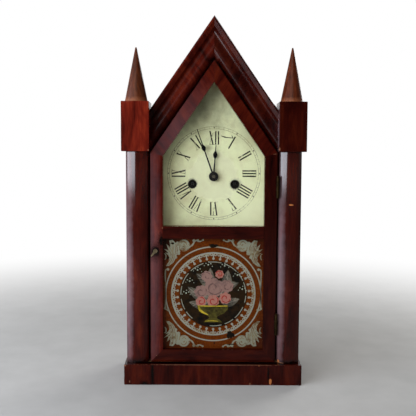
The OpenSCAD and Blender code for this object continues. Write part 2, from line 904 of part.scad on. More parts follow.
// Intermediate wheel and its pinion, on a stud of the front plate
stud_d = 1.4;
module minute_wheel() {
    at = motion_at;
    color(brass) {
        wheel(at, motion_module, minute_teeth, heading(at, centre_at), motion_wheel_s, wheel_t,
              stud_d + 2 * run_fit, 1.6, 2.2, 1.2);
        difference() {
            translate([at[0], 0, at[1]])
                slab(hour_wheel_s - 0.3, motion_wheel_s - hour_wheel_s + 0.3)
                    rotate(heading(at, centre_at) + 180 / minute_leaves)
                        teeth(motion_module, minute_leaves, 0.8, 1.3);
            bar(at[0], at[1], stud_d + 2 * run_fit, hour_wheel_s - 1, 4);
        }
    }
}

// ---------- Movement ----------
// Distances of pillars and screws from the plates' sides, lower edges and upper edges
pillar_in = [6, 13, 6];
plate_screw_in = [4, 5, 16];
function by_edges(in) = [for (side = [-1, 1], z = [plate_foot_z + in[1], plate_top_z - in[2]])
    [side * (plate_half_w - in[0]), z]];
pillars = by_edges(pillar_in);
plate_screws = by_edges(plate_screw_in);
winding_arbor_d = 4;
thin_arbor_d = 1.4;
verge_arbor_d = 1.8;
hammer_at = [-16, plate_foot_z + 7];
hammer_arbor_d = 2.4;
pivots = [[time_at, winding_arbor_d], [strike_at, winding_arbor_d], [third_at, thin_arbor_d],
          [escape_at, thin_arbor_d], [pivot_at, verge_arbor_d], [hammer_at, hammer_arbor_d]];

module plate_blank(setback) {
    difference() {
        slab(setback, plate_t)
            difference() {
                translate([-plate_half_w, plate_foot_z])
                    square([2 * plate_half_w, plate_top_z - plate_foot_z]);
                for (side = [-1, 1])
                    translate([side * (plate_half_w - 12), plate_top_z - 34])
                        circle(d = 12);
                translate([0, plate_foot_z + 17])
                    circle(d = 16);
            }
        for (p = pivots)
            bar(p[0][0], p[0][1], p[1] + 2 * run_fit, setback - 1, plate_t + 2);
    }
}

module front_plate() {
    color(brass) {
        difference() {
            plate_blank(plate_setback);
            bar(0, hand_z, pipe_d + 2 * run_fit, plate_setback - 1, plate_t + 2);
            for (p = pillars)
                bar(p[0], p[1], pillar_d - 2 + 2 * run_fit, plate_setback - 1, plate_t + 2);
            for (p = plate_screws)
                bar(p[0], p[1], screw_head_d + 1, plate_setback - 1, plate_t + 2);
        }
        bar(motion_at[0], motion_at[1], stud_d, gap_setback - eps,
            motion_wheel_s + wheel_t + 0.3 - gap_setback);
    }
}

// Back plate with its riveted pillars, whose shouldered ends pass through the front plate
module back_plate() {
    color(brass) {
        difference() {
            plate_blank(back_plate_setback);
            bar(0, hand_z, arbor_d + 2 * run_fit, back_plate_setback - 1, plate_t + 2);
            for (p = plate_screws)
                bar(p[0], p[1], screw_hole, back_plate_setback - 1, plate_t + 2);
        }
        for (p = pillars) {
            bar(p[0], p[1], pillar_d, gap_setback, plate_gap + eps);
            bar(p[0], p[1], pillar_d - 2, plate_setback - 1.5, plate_t + 1.5 + eps);
        }
    }
}

// Four blocks that carry the movement on the back board
module movement_blocks() {
    color(pine)
        for (p = plate_screws)
            difference() {
                box(p[0] - 8, plate_back, p[1] - 7, 16, back_setback - plate_back, 14);
                bar(p[0], p[1], screw_hole, plate_back - 1, screw_l + 2);
            }
}

// Round-head wood screw whose head bears on a face at a setback
module wood_screw(p, setback) {
    head = 1;
    bar(p[0], p[1], screw_head_d, setback - head, head);
    bar(p[0], p[1], screw_d, setback - eps, screw_l);
}

module wood_screws() {
    color(brass) {
        for (p = dial_screws) wood_screw(p, dial_setback);
        for (p = plate_screws) wood_screw(p, back_plate_setback);
    }
}

cock_front = plate_setback - 11;
cheek_t = 1;
pin_d = 2;
pendulum_s = cock_front + 3;
// Cock that carries the pendulum's pin between two cheeks
module suspension_cock() {
    top = plate_top_z;
    foot = pendulum_z + verge_arbor_d / 2 + 1;
    cheek_foot = 2.6;
    low = pendulum_z - cheek_foot;
    color(brass)
        difference() {
            union() {
                box(pendulum_x - 3, cock_front, top - 3, 6, plate_setback - cock_front, 3);
                box(pendulum_x - 9, plate_setback - 1.6, foot, 18, 1.6, top - foot);
                for (s = [cock_front, cock_front + 5])
                    box(pendulum_x - 3, s, low, 6, cheek_t, top - low);
            }
            bar(pendulum_x, pendulum_z, pin_d + 2 * run_fit, cock_front - 1, 8);
        }
}

// Winding arbor with its square end, ratchet and spring collet
ratchet_s = great_s + great_t + 0.5;
module winding_arbor(at) {
    square_w = 3.4;
    square_front = dial_setback + 2.5;
    round_front = plate_setback - 2;
    color(steel) {
        box(at[0] - square_w / 2, square_front, at[1] - square_w / 2,
            square_w, round_front - square_front + eps, square_w);
        bar(at[0], at[1], winding_arbor_d, round_front, plate_back - round_front);
        bar(at[0], at[1], 6.8, spring_s - 0.4, spring_h + 0.8);
        translate([at[0], 0, at[1]])
            slab(ratchet_s, 1.2)
                ratchet(7, 14);
    }
}

module ratchet(r, n) {
    polygon([for (i = [0:n - 1], k = [[0, r], [0.9, r - 1.6]])
             let (a = (i + k[0]) * 360 / n) k[1] * [cos(a), sin(a)]]);
}

module time_winding_arbor() {
    winding_arbor(time_at);
}

module strike_winding_arbor() {
    winding_arbor(strike_at);
}

// Great wheel with its click, held off the ratchet as when the clock is wound
module great_wheel(at, m, angle) {
    click_r = 8.6;
    click_t = 1.4;
    color(brass) {
        wheel(at, m, great_teeth, angle, great_s, great_t, winding_arbor_d + 2 * run_fit,
              4, 10, 3.2);
        translate([at[0], 0, at[1]])
            slab(great_s + great_t - eps, click_t)
                rotate(angle + 45)
                    translate([click_r - 1.2, -3])
                        square([2.2, 6]);
    }
}

module time_great_wheel() {
    great_wheel(time_at, great_module, heading(time_at, centre_at));
}

strike_share = 0.925;      // the strike wheel is this much smaller than the time wheel
strike_module = great_module * strike_share;
module strike_great_wheel() {
    great_wheel(strike_at, strike_module, heading(strike_at, centre_at));
}

// Spiral strip of a mainspring, wound evenly from the collet to its outer diameter
module spiral_strip(r0, r1, turns, strip) {
    per_turn = 20;
    n = ceil(turns * per_turn);
    function at(i, side) = let (a = 360 * turns * i / n, r = r0 + (r1 - r0) * i / n + side * strip / 2)
        r * [cos(a), sin(a)];
    polygon(concat([for (i = [0:n]) at(i, 1)], [for (i = [n:-1:0]) at(i, -1)]));
}

module mainsprings() {
    color(steel)
        for (at = [time_at, strike_at])
            translate([at[0], 0, at[1]])
                slab(spring_s, spring_h)
                    spiral_strip(4.4, spring_d / 2 - spring_strip / 2, spring_turns, spring_strip);
}

// Centre wheel and lantern pinion on a pipe that turns around the hand arbor
module centre_wheel() {
    pipe_out = 2.7;
    bore = arbor_d + 2 * run_fit;
    caps_s = great_s - cap_gap - 0.3;
    caps_l = great_t + 2 * cap_gap + 0.9;
    color(brass) {
        difference() {
            bar(0, hand_z, pipe_out, caps_s, centre_s + wheel_t + 1 - caps_s);
            bar(0, hand_z, bore, caps_s - 1, 40);
        }
        lantern(centre_at, great_module, centre_leaves, heading(centre_at, time_at), caps_s,
                caps_l, 0.3, bore);
        wheel(centre_at, centre_module, centre_teeth, heading(centre_at, third_at), centre_s,
              wheel_t, bore);
    }
}

// Arbor that carries a wheel and a lantern pinion between the plates
module train_arbor(at, wheel_m, wheel_n, wheel_angle, wheel_s, leaf_m, leaf_angle, mate_s) {
    cap_t = 0.4;
    caps_s = mate_s - cap_gap - cap_t;
    bar(at[0], at[1], thin_arbor_d, plate_setback, plate_back - plate_setback);
    lantern(at, leaf_m, pinion_leaves, leaf_angle, caps_s, wheel_t + 2 * cap_gap + 2 * cap_t, cap_t, 0);
    if (wheel_n > 0)
        wheel(at, wheel_m, wheel_n, wheel_angle, wheel_s, wheel_t, 0, 2, 2.6, 1.6);
}

module third_wheel() {
    color(brass)
        train_arbor(third_at, third_module, third_teeth, heading(third_at, escape_at), third_s,
                    centre_module, heading(third_at, centre_at), centre_s);
}

module escape_wheel() {
    r = escape_d / 2;
    tooth_h = 1.4;
    color(brass) {
        train_arbor(escape_at, 0, 0, 0, 0, third_module, heading(escape_at, third_at), third_s);
        translate([escape_at[0], 0, escape_at[1]])
            slab(escape_s, wheel_t)
                difference() {
                    polygon([for (i = [0:escape_teeth - 1],
                                  k = [[0, r], [0.25, r - tooth_h], [0.85, r - tooth_h]])
                             let (a = (i + k[0]) * 360 / escape_teeth) k[1] * [cos(a), sin(a)]]);
                    crossings(r - 3, 2.4, 1.6);
                }
    }
}

// Verge: arbor with a strip of two pallets over the escape wheel, and a crutch with a fork
crutch_s = cock_front + 7.2;
module verge() {
    r = escape_d / 2;
    spread = 40;
    tip_r = r + 1.3;
    front = crutch_s;
    crutch_l = 18;
    fork_z = pendulum_z - crutch_l;
    rod_room = 1;
    color(steel) {
        bar(pendulum_x, pendulum_z, verge_arbor_d, front, plate_back - front);
        translate([escape_at[0], 0, escape_at[1]])
            slab(escape_s, wheel_t)
                for (side = [-1, 1])
                    polygon([[0, verge_rise - 1.2], [0, verge_rise + 1.2],
                             side * (tip_r + 3) * [sin(spread), 0] + [0, (tip_r + 3) * cos(spread)],
                             side * tip_r * [sin(spread), 0] + [0, tip_r * cos(spread)],
                             side * (tip_r + 1.6) * [sin(spread - 7), 0]
                             + [0, (tip_r + 1.6) * cos(spread - 7)]]);
        box(pendulum_x - 1.2, front, fork_z, 2.4, 0.8, pendulum_z - fork_z);
        for (side = [-1, 1])
            box(pendulum_x + (side > 0 ? rod_room : -rod_room - 0.8), pendulum_s - 1, fork_z - 1,
                0.8, front + 0.8 - pendulum_s + 1, 2);
        box(pendulum_x - rod_room - 0.8, front, fork_z - 1, 2 * rod_room + 1.6, 0.8, 2);
    }
}

rod_d = 1.4;
bob_z = pendulum_z - pendulum_l;
// Pendulum rod: cross pin, suspension strip, wire and the threaded foot below the bob
module pendulum_rod() {
    strip_l = 14;
    foot = bob_z - bob_d / 2 - 8;
    color(steel) {
        bar(pendulum_x, pendulum_z, pin_d, cock_front, 6);
        box(pendulum_x - 1.4, pendulum_s - 0.2, pendulum_z - strip_l, 2.8, 0.4, strip_l);
        translate([pendulum_x, front_y + pendulum_s, foot])
            cylinder(d = rod_d, h = pendulum_z - strip_l + 2 - foot);
        translate([pendulum_x, front_y + pendulum_s, foot + 3.4])
            cylinder(d = 6, h = bob_z - bob_d / 2 - foot - 3.4);
    }
}

module pendulum_bob() {
    rim = 1.6;
    color(brass)
        difference() {
            translate([pendulum_x, front_y + pendulum_s, bob_z])
                rotate([90, 0, 0])
                    rotate_extrude()
                        polygon([[0, -bob_t / 2], [0.45 * bob_d, -rim / 2], [bob_d / 2, -rim / 2],
                                 [bob_d / 2, rim / 2], [0.45 * bob_d, rim / 2], [0, bob_t / 2]]);
            translate([pendulum_x, front_y + pendulum_s, bob_z - bob_d])
                cylinder(d = rod_d + 2 * run_fit, h = 2 * bob_d);
        }
}

// ---------- Strike ----------
gong_s = back_setback - 8.5;
gong_out = (gong_d - gong_wire) / 2;
gong_in = 9;
gong_end = 10;            // straight stretch that runs up to the base
gong_sides = 6;
gong_per_turn = 24;
base_w = 15;
base_h = 20;
base_front = 7;           // how far the base stands before the coil's plane
base_z = gong_z + gong_end;

// Centre line of the coil in X and Z, from its free inner end to the base
gong_steps = ceil(gong_turns * gong_per_turn);
function gong_point(i) = i > gong_steps
    ? [gong_out, (i - gong_steps) * gong_end]
    : let (a = 360 * gong_turns * (i / gong_steps - 1), r = gong_in + (gong_out - gong_in) * i / gong_steps)
        r * [cos(a), sin(a)];
gong_path = [for (i = [0:gong_steps + 1]) gong_point(i)];
echo(gong_gap_between_turns = (gong_out - gong_in) / gong_turns - gong_wire);

// Unit direction of the path at one of its points
function gong_way(i) = let (a = gong_path[max(i - 1, 0)], b = gong_path[min(i + 1, len(gong_path) - 1)])
    (b - a) / norm(b - a);

module gong_coil() {
    last = len(gong_path) - 1;
    rings = [for (i = [0:last]) let (u = i == last ? [0, 1] : gong_way(i), n = [u[1], -u[0]])
        [for (k = [0:gong_sides - 1]) let (a = (k + 0.5) * 360 / gong_sides, r = gong_wire / 2)
            [gong_x + gong_path[i][0] + r * cos(a) * n[0],
             front_y + gong_s + r * sin(a),
             gong_z + gong_path[i][1] + r * cos(a) * n[1]]]];
    s = gong_sides;
    color(steel)
        polyhedron(
            points = [for (ring = rings, p = ring) p],
            faces = concat(
                [for (k = [1:s - 2]) [0, k, k + 1]],
                [for (i = [0:last - 1], k = [0:s - 1])
                    each [[i * s + k, (i + 1) * s + k, i * s + (k + 1) % s],
                          [i * s + (k + 1) % s, (i + 1) * s + k, (i + 1) * s + (k + 1) % s]]],
                [for (k = [1:s - 2]) [last * s, last * s + k + 1, last * s + k]]));
}

// Cast base that holds the coil's outer end on the back board
module gong_base() {
    color(iron)
        box(gong_x + gong_out - base_w / 2, gong_s - base_front, base_z,
            base_w, back_setback - gong_s + base_front, base_h);
}

// Hammer: arbor through the plates, wire and head beside the gong
module hammer() {
    head_l = 12;
    head_x = gong_x - gong_out - gong_wire / 2 - 2 - head_l;
    head_z = gong_z + 4;
    wire_d = 2;
    foot = [head_x + head_l / 2, head_z];
    reach = norm(foot - hammer_at);
    color(steel) {
        bar(hammer_at[0], hammer_at[1], hammer_arbor_d, plate_setback, gong_s + 1.5 - plate_setback);
        bar(hammer_at[0], hammer_at[1], 5, gong_s - 1.8, 3.6);
        translate([foot[0], front_y + gong_s, foot[1]])
            rotate([0, atan2(hammer_at[0] - foot[0], hammer_at[1] - foot[1]), 0])
                cylinder(d = wire_d, h = reach);
        translate([head_x, front_y + gong_s, head_z])
            rotate([0, 90, 0])
                cylinder(d = hammer_d, h = head_l);
    }
}

plinth_front();
plinth_side(-1);  // plinth_side_left
plinth_side(1);  // plinth_side_right
bottom_board();
case_side(-1);  // case_side_left
case_side(1);  // case_side_right
front_stile(-1);  // front_stile_left
front_stile(1);  // front_stile_right
gable_rails();
gable_moulding(-1);  // gable_moulding_left
gable_moulding(1);  // gable_moulding_right
roof_board(-1);  // roof_board_left
roof_board(1);  // roof_board_right
back_board();
column(-1);  // column_left
column(1);  // column_right
column_block(-1);  // column_block_left
column_block(1);  // column_block_right
finial(-1);  // finial_left
finial(1);  // finial_right
case_hinge_leaves();
latch_keeper();
door_stile_left();
door_stile_right();
door_rake_left();
door_rake_right();
door_mid_rail();
door_bottom_rail();
dial_glass();
tablet_glass();
glazing_strips();
door_hinge_leaves();
latch_turn();
dial_plate();
dial_battens();
minute_hand();
hour_hand();
hand_collet();
minute_arbor();
hour_wheel();
minute_wheel();
front_plate();
back_plate();
movement_blocks();
wood_screws();
suspension_cock();
time_winding_arbor();
strike_winding_arbor();
time_great_wheel();
strike_great_wheel();
mainsprings();
centre_wheel();
third_wheel();
escape_wheel();
verge();
pendulum_rod();
pendulum_bob();
gong_coil();
gong_base();
hammer();
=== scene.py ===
import math
from functools import partial

import bmesh
import bpy
from mathutils import Matrix, Vector


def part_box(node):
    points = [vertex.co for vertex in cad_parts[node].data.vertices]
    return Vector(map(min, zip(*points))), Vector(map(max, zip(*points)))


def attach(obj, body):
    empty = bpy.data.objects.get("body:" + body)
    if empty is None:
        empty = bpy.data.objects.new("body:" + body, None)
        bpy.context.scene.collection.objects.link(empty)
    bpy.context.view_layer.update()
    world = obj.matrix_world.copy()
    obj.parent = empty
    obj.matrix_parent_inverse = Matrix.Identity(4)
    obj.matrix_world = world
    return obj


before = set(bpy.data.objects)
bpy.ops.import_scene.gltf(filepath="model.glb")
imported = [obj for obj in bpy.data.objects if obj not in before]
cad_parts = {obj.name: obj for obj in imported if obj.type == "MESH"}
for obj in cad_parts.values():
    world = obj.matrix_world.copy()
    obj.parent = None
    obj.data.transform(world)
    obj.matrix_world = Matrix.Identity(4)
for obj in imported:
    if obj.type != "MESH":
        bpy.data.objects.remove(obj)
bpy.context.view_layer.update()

# Looks of a steeple shelf clock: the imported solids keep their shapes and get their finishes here, and
# the dial's print, the stencilled tablet and its little still life are drawn as thin films of paint.
# Lengths in the functions are millimetres in the row frame, X right, Y back and Z up, unless said.

bl_info = {
    "name": "Steeple Shelf Clock",
    "version": (1, 0, 0),
    "blender": (4, 5, 0),
    "location": "View3D > Sidebar > Shelf Clock",
    "description": "Finishes, dial print and painted tablet of a steeple shelf clock",
    "category": "Object",
}

MM = 0.001


def linear(hex_colour):
    """Turns an sRGB hex value to the linear colour that sockets take."""
    parts = [int(hex_colour[i:i + 2], 16) / 255 for i in (1, 3, 5)]
    return tuple(c / 12.92 if c < 0.04045 else ((c + 0.055) / 1.055) ** 2.4 for c in parts) + (1.0,)


def front_of(node):
    """The lowest Y of a CAD node, which is its front, in millimetres."""
    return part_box(node)[0].y / MM


def foot_of(node):
    """The lowest Z of a CAD node, in millimetres."""
    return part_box(node)[0].z / MM


# ---------- Sizes and colours that a user would change ----------
def length_prop(name, default_mm, description):
    """A length that the user can set."""
    return bpy.props.FloatProperty(name=name, description=description, default=default_mm * MM,
                                   min=0.0, unit="LENGTH", precision=4)


def colour_prop(name, hex_colour, description):
    """A colour that the user can set."""
    return bpy.props.FloatVectorProperty(name=name, description=description, subtype="COLOR", size=4,
                                         min=0.0, max=1.0, default=linear(hex_colour))


class ShelfClockSizes(bpy.types.PropertyGroup):
    """Sizes of what is printed, painted or softened on the clock."""
    arris: length_prop("Softened arris", 0.7, "Width of the worn edge on the case's wood")
    numeral_in: length_prop("Numerals' inner radius", 40.5, "From the ring's middle to the numerals' feet")
    numeral_out: length_prop("Numerals' outer radius", 59.6, "From the ring's middle to the numerals' heads")
    thick_stroke: length_prop("Thick stroke", 1.9, "Width of a numeral's thick strokes")
    thin_stroke: length_prop("Thin stroke", 0.95, "Width of a numeral's thin strokes and serifs")
    minute_ring: length_prop("Minute ring", 64.4, "Radius of the middle of the minute track")
    print_film: length_prop("Dial print film", 0.05, "Thickness of the paint of the dial's print")
    paint_film: length_prop("Tablet paint film", 0.05, "Thickness of each layer of the tablet's paint")
    outer_ring: length_prop("Outer ring", 67.0, "Radius of the tablet's thin outer ring")
    stem_ring: length_prop("Stem ring", 58.3, "Radius of the tablet's ring that carries the stems")
    roundel: length_prop("Roundel", 47.6, "Radius of the dark roundel in the middle of the tablet")


class ShelfClockColours(bpy.types.PropertyGroup):
    """Colours of the clock's finishes."""
    veneer_dark: colour_prop("Veneer, dark", "#2c0704", "Darkest figure of the mahogany")
    veneer_mid: colour_prop("Veneer, middle", "#50140b", "Ground colour of the mahogany")
    veneer_light: colour_prop("Veneer, light", "#702613", "Lightest figure of the mahogany")
    turned_dark: colour_prop("Finials, dark", "#36170b", "Dark grain of the stained finials")
    turned_light: colour_prop("Finials, light", "#62301a", "Light grain of the stained finials")
    bare_wood: colour_prop("Bare wood", "#a9683c", "Wood that shows where the veneer is chipped")
    pine: colour_prop("Pine", "#9a764a", "Old softwood of the back and the hidden faces")
    dial: colour_prop("Dial", "#e6edbc", "Cream paint of the dial")
    dial_stain: colour_prop("Dial stain", "#b3a877", "Darker, browner patches of the dial's paint")
    print_black: colour_prop("Print", "#22221c", "Black of the numerals and the rings")
    tablet_ground: colour_prop("Tablet ground", "#552506", "Amber brown ground of the tablet")
    stencil: colour_prop("Stencil", "#898a7c", "Pale bronze powder of the tablet's ornament")
    brass: colour_prop("Brass", "#a58a4e", "Aged brass of the movement and the mounts")


def sizes():
    """The sizes that the user set, in metres."""
    return bpy.context.scene.shelf_clock_sizes


def colours():
    """The colours that the user set."""
    return bpy.context.scene.shelf_clock_colours


def size_mm(name):
    """One size that the user set, in millimetres."""
    return getattr(sizes(), name) / MM


# ---------- Materials ----------
def add(tree, kind, inputs=None, out=0, to=None, stops=(), **settings):
    """Adds a node and returns the output named or numbered out. Each input takes a value, an sRGB hex
    colour or another node's output, to is the input that the output feeds, and stops are a ramp's places
    and colours."""
    made = tree.nodes.new("ShaderNode" + kind)
    for name, value in settings.items():
        setattr(made, name, value)
    for key, value in (inputs or {}).items():
        if isinstance(value, bpy.types.NodeSocket):
            tree.links.new(value, made.inputs[key])
        else:
            made.inputs[key].default_value = linear(value) if isinstance(value, str) else value
    for number, (at, colour) in enumerate(stops):
        stop = made.color_ramp.elements[number] if number < 2 else made.color_ramp.elements.new(at)
        stop.position, stop.color = at, colour
    if to is not None:
        tree.links.new(made.outputs[out], to)
    return made.outputs[out] if made.outputs else None


def new_material(name, **shader):
    """A material with one Principled shader. Returns it, its node tree and the shader."""
    material = bpy.data.materials.new(name)
    material.use_nodes = True
    tree = material.node_tree
    tree.nodes.clear()
    surface = add(tree, "BsdfPrincipled", {key.replace("_", " "): value for key, value in shader.items()})
    add(tree, "OutputMaterial", {"Surface": surface})
    return material, tree, surface.node


def coated(name, weight, roughness, ior, **ground):
    """A new material that is matt by itself and shines by its clear coat alone."""
    ground = {"Roughness": 0.55, "Specular_IOR_Level": 0.0, "IOR": 1.5, **ground}
    return new_material(name, Coat_Weight=weight, Coat_Roughness=roughness, Coat_IOR=ior, **ground)


def finished(material, shader, colour=None, relief=None, strength=0.0, depth_mm=0.0):
    """Gives a material its colour and its relief, where it has them, and returns it."""
    tree = material.node_tree
    if colour is not None:
        tree.links.new(colour, shader.inputs["Base Color"])
    if relief is not None:
        add(tree, "Bump", {"Height": relief, "Strength": strength, "Distance": depth_mm * MM},
            to=shader.inputs["Normal"])
    return material


def place(tree, cell_mm, tilt=0.0, shift=(0, 0, 0)):
    """Row-frame coordinates, turned by tilt about Y and then counted in cells of this size in millimetres."""
    where = add(tree, "TexCoord", out="Object")
    turned = add(tree, "Mapping", {0: where, "Rotation": (0, tilt, 0)})
    scale = [1 / (cell * MM) for cell in cell_mm]
    return add(tree, "Mapping", {0: turned, "Location": shift, "Scale": scale})


def patches(tree, cell_mm, tilt=0.0, shift=(0, 0, 0), detail=3.0, distortion=0.0, roughness=0.55):
    """Uneven pattern from 0 to 1 whose patches are about one cell wide and lie along the grain."""
    return add(tree, "TexNoise", {"Vector": place(tree, cell_mm, tilt, shift), "Scale": 1.0,
                                  "Detail": detail, "Distortion": distortion, "Roughness": roughness})


def spot(tree, centre, radii, edge, rough=0.35, grain=2.5):
    """1 inside an uneven oval patch around centre, 0 outside it. Sizes in millimetres, and edge is the share
    of the patch over which it fades."""
    wobble = patches(tree, (grain, grain, grain), detail=2.0)
    moved = [-c / r for c, r in zip(centre, radii)]
    away = add(tree, "VectorMath", {0: place(tree, radii, shift=moved)}, out="Value", operation="LENGTH")
    uneven = add(tree, "Math", {0: wobble, 1: 2 * rough, 2: away}, operation="MULTIPLY_ADD")
    return add(tree, "MapRange", {0: uneven, 1: 1 - edge + rough, 2: 1.0 + rough, 3: 1.0, 4: 0.0})


def lay(tree, ground, colour, pattern, low=0.0, high=1.0, share=1.0):
    """Lays a colour over the ground: none where the pattern is below low, the share given above high."""
    cover = add(tree, "MapRange", {0: pattern, 1: low, 2: high, 3: 0.0, 4: share})
    return add(tree, "Mix", {0: cover, 6: ground, 7: colour}, out=2, data_type="RGBA")


# Directions in which the veneer's grain runs: the turn about Y that lays it along Z
UPRIGHT = 0.0
LEVEL = math.pi / 2
SLOPE = math.radians(90 - 55.2)

# Every wood pattern is stretched along the grain. Real pores are 0.2 mm wide and would vanish in the
# render, so they are drawn 0.8 mm wide and 14 mm long.
FIGURE_CELL = (14, 14, 60)
STREAK_CELL = (2.6, 2.6, 45)
PORE_CELL = (0.8, 0.8, 14)


def behind(tree, axis, edge_mm, side=1):
    """1 where the coordinate along axis lies beyond edge_mm, or short of it with side -1. X counts from the
    middle both ways."""
    row = add(tree, "SeparateXYZ", {0: add(tree, "TexCoord", out="Object")}, out=axis)
    if axis == 0:
        row = add(tree, "Math", {0: row}, operation="ABSOLUTE")
    return add(tree, "Math", {0: row, 1: edge_mm * MM}, operation="GREATER_THAN" if side > 0 else "LESS_THAN")


def softwood(tree, tilt, seed):
    """Colour of old bare pine: yellow-brown early wood with darker late-wood bands 3 mm apart, and dust."""
    bands = patches(tree, (3, 3, 160), tilt, (seed, 0, 0), detail=2.0, distortion=0.4)
    dust = patches(tree, (30, 30, 30), tilt, (seed, 4, 0), detail=4.0)
    wood = lay(tree, colours().pine, "#5f4226", bands, 0.42, 0.6, 0.75)
    return lay(tree, wood, "#6e614c", dust, 0.35, 0.75, 0.6)


def mahogany(name, tilt, seed, tone=1.0, shine=1.2, satin=0.16, coat=1.0, bloom=(), chips=(), grime=(),
             lines=(), hidden=None, dull=None):
    """Mahogany veneer under old shellac, hand rubbed: soft ribbon figure, open pores, and a deep gloss.
    tone is how light the sheet is drawn, and on the front's left and right pieces it also paints light and
    shade:
    lighter on the left and darker on the right, as if lit from the left. shine, satin and coat are the
    shellac's
    IOR, roughness and weight. bloom lays a pale painted reflection of the light from the left on the shellac,
    chips show bare orange wood, grime darkens with dirt and in places with painted shade, lines are pale open
    joints, hidden faces show softwood, and dull gives two heights between which the shellac wears thin
    downward."""
    # Shellac fills the wood, so the wood itself hardly shines under its coat
    material, tree, shader = coated(name, coat, satin, shine)
    tint = colours()
    figure = patches(tree, FIGURE_CELL, tilt, (seed, seed, 0), detail=4.0, distortion=0.6)
    streak = patches(tree, STREAK_CELL, tilt, (0, seed, seed), distortion=0.3)
    pores = patches(tree, PORE_CELL, tilt, (seed, 0, seed), detail=1.0)
    body = add(tree, "Mix", {0: 0.22, 2: figure, 3: streak})
    wood = add(tree, "ValToRGB", {0: body}, stops=((0.32, tint.veneer_dark), (0.5, tint.veneer_mid),
                                                   (0.7, tint.veneer_light)))
    wood = lay(tree, wood, "#120403", pores, 0.58, 0.7, 0.35)
    wood = add(tree, "Mix", {0: 1.0, 6: wood, 7: (tone, tone, tone, 1)}, out=2, data_type="RGBA",
               blend_type="MULTIPLY")
    # Each pale spot is a painted reflection of the light from the left, laid on the wood's colour
    for centre, radii, share in bloom:
        haze = spot(tree, centre, radii, edge=0.95, rough=0.2, grain=8)
        wood = lay(tree, wood, "#a08c94", haze, share=share)
    # Each dark spot is dirt, and in places painted shade
    for centre, radii, edge in grime:
        wood = lay(tree, wood, "#070302", spot(tree, centre, radii, edge=edge))
    for centre, radii in lines:
        wood = lay(tree, wood, "#7d5540", spot(tree, centre, radii, edge=0.5, rough=0.5))
    bare = []
    for centre, radii in chips:
        bare.append(spot(tree, centre, radii, edge=0.15))
        wood = lay(tree, wood, tint.bare_wood, bare[-1])
    if hidden:
        bare.append(behind(tree, *hidden))
        wood = lay(tree, wood, softwood(tree, tilt, seed), bare[-1])
    # Where the veneer is gone there is no shellac either
    left = coat
    if dull:
        height = add(tree, "SeparateXYZ", {0: add(tree, "TexCoord", out="Object")}, out=2)
        left = add(tree, "MapRange", {0: height, 1: dull[0] * MM, 2: dull[1] * MM, 3: 0.25 * coat, 4: coat},
                   interpolation_type="SMOOTHSTEP")
    for mask in bare:
        left = add(tree, "MapRange", {0: mask, 3: left, 4: 0.0})
    if left is not coat:
        tree.links.new(left, shader.inputs["Coat Weight"])
    # Brush ripples 9 mm apart and fine crazing in the shellac
    ripple = patches(tree, (9, 9, 26), tilt, (seed, 7, 0), detail=2.0)
    crazing = patches(tree, (1.4, 1.4, 3.0), tilt, (seed, 9, 0), detail=2.0)
    relief = add(tree, "Math", {0: crazing, 1: 0.1, 2: ripple}, operation="MULTIPLY_ADD")
    return finished(material, shader, wood, relief, 0.2, 0.4)


def stained_maple(name, seed, shade):
    """Turned maple stained red-brown: fine straight grain along the cone, lathe rings, satin shellac."""
    material, tree, shader = coated(name, 0.6, 0.28, 1.33, Roughness=0.5)
    tint = colours()
    grain = patches(tree, (3.2, 3.2, 60), 0.0, (seed, 0, 0), detail=4.0, distortion=0.4)
    wood = lay(tree, tint.turned_dark, tint.turned_light, grain, 0.3, 0.7)
    wood = add(tree, "Mix", {0: 1.0, 6: wood, 7: shade}, out=2, data_type="RGBA", blend_type="MULTIPLY")
    rub = spot(tree, (0, front_of("finial_left") + 15, foot_of("finial_left")), (400, 400, 7), edge=0.9)
    wood = lay(tree, wood, "#a4623f", rub, share=0.55)
    rings = patches(tree, (60, 60, 1.8), 0.0, (seed, 0, 0), detail=2.0)
    return finished(material, shader, wood, rings, 0.25, 0.3)


def bare_pine(name, tilt, seed):
    """Old unfinished pine, sawn and planed: matt, dusty, with raised late wood."""
    material, tree, shader = new_material(name, Roughness=0.85, IOR=1.45)
    saw = patches(tree, (2.0, 2.0, 90), tilt, (seed, 2, 0))
    return finished(material, shader, softwood(tree, tilt, seed), saw, 0.4, 0.4)


def aged_metal(name, colour, tarnish, roughness, cell_mm, strength=0.15, oily=()):
    """Metal with a skin of tarnish in soft patches, and fine scratches or casting grain in the bump.
    It is blackened round each oily (centre, radii): old oil, and painted shade where little light gets in."""
    material, tree, shader = new_material(name, Metallic=1.0)
    cloud = patches(tree, (9, 9, 9), detail=4.0)
    skin = lay(tree, colour, tarnish, cloud, 0.25, 0.75)
    # Painted shade and old oil darken these spots
    for centre, radii in oily:
        skin = lay(tree, skin, "#1a150e", spot(tree, centre, radii, edge=0.4))
    add(tree, "MapRange", {0: cloud, 1: 0.3, 2: 0.7, 3: roughness, 4: min(1.0, roughness + 0.2)},
        to=shader.inputs["Roughness"])
    return finished(material, shader, skin, patches(tree, cell_mm, detail=2.0), strength, 0.2)


def clear_pane():
    """Old window glass, polished: nearly all light passes, and it shines more the flatter it is seen.
    The shine follows Schlick's rule from 3.5 percent, because the pane lets light through unbent."""
    material, tree, shader = new_material("old_window_glass", Metallic=1.0, Roughness=0.03,
                                          Base_Color=(1.0, 1.0, 1.0, 1.0))
    facing = add(tree, "LayerWeight", {"Blend": 0.5}, out="Facing")
    flat = add(tree, "Math", {0: facing, 1: 5.0}, operation="POWER")
    shine = add(tree, "Math", {0: flat, 1: 0.9, 2: 0.035}, operation="MULTIPLY_ADD")
    haze = add(tree, "MapRange", {0: patches(tree, (16, 16, 22)), 1: 0.3, 2: 0.75, 3: 0.8, 4: 1.0})
    add(tree, "Math", {0: shine, 1: haze}, to=shader.inputs["Alpha"], operation="MULTIPLY")
    wave = patches(tree, (22, 22, 34), detail=1.0)
    return finished(material, shader, None, wave, 0.1, 0.4)


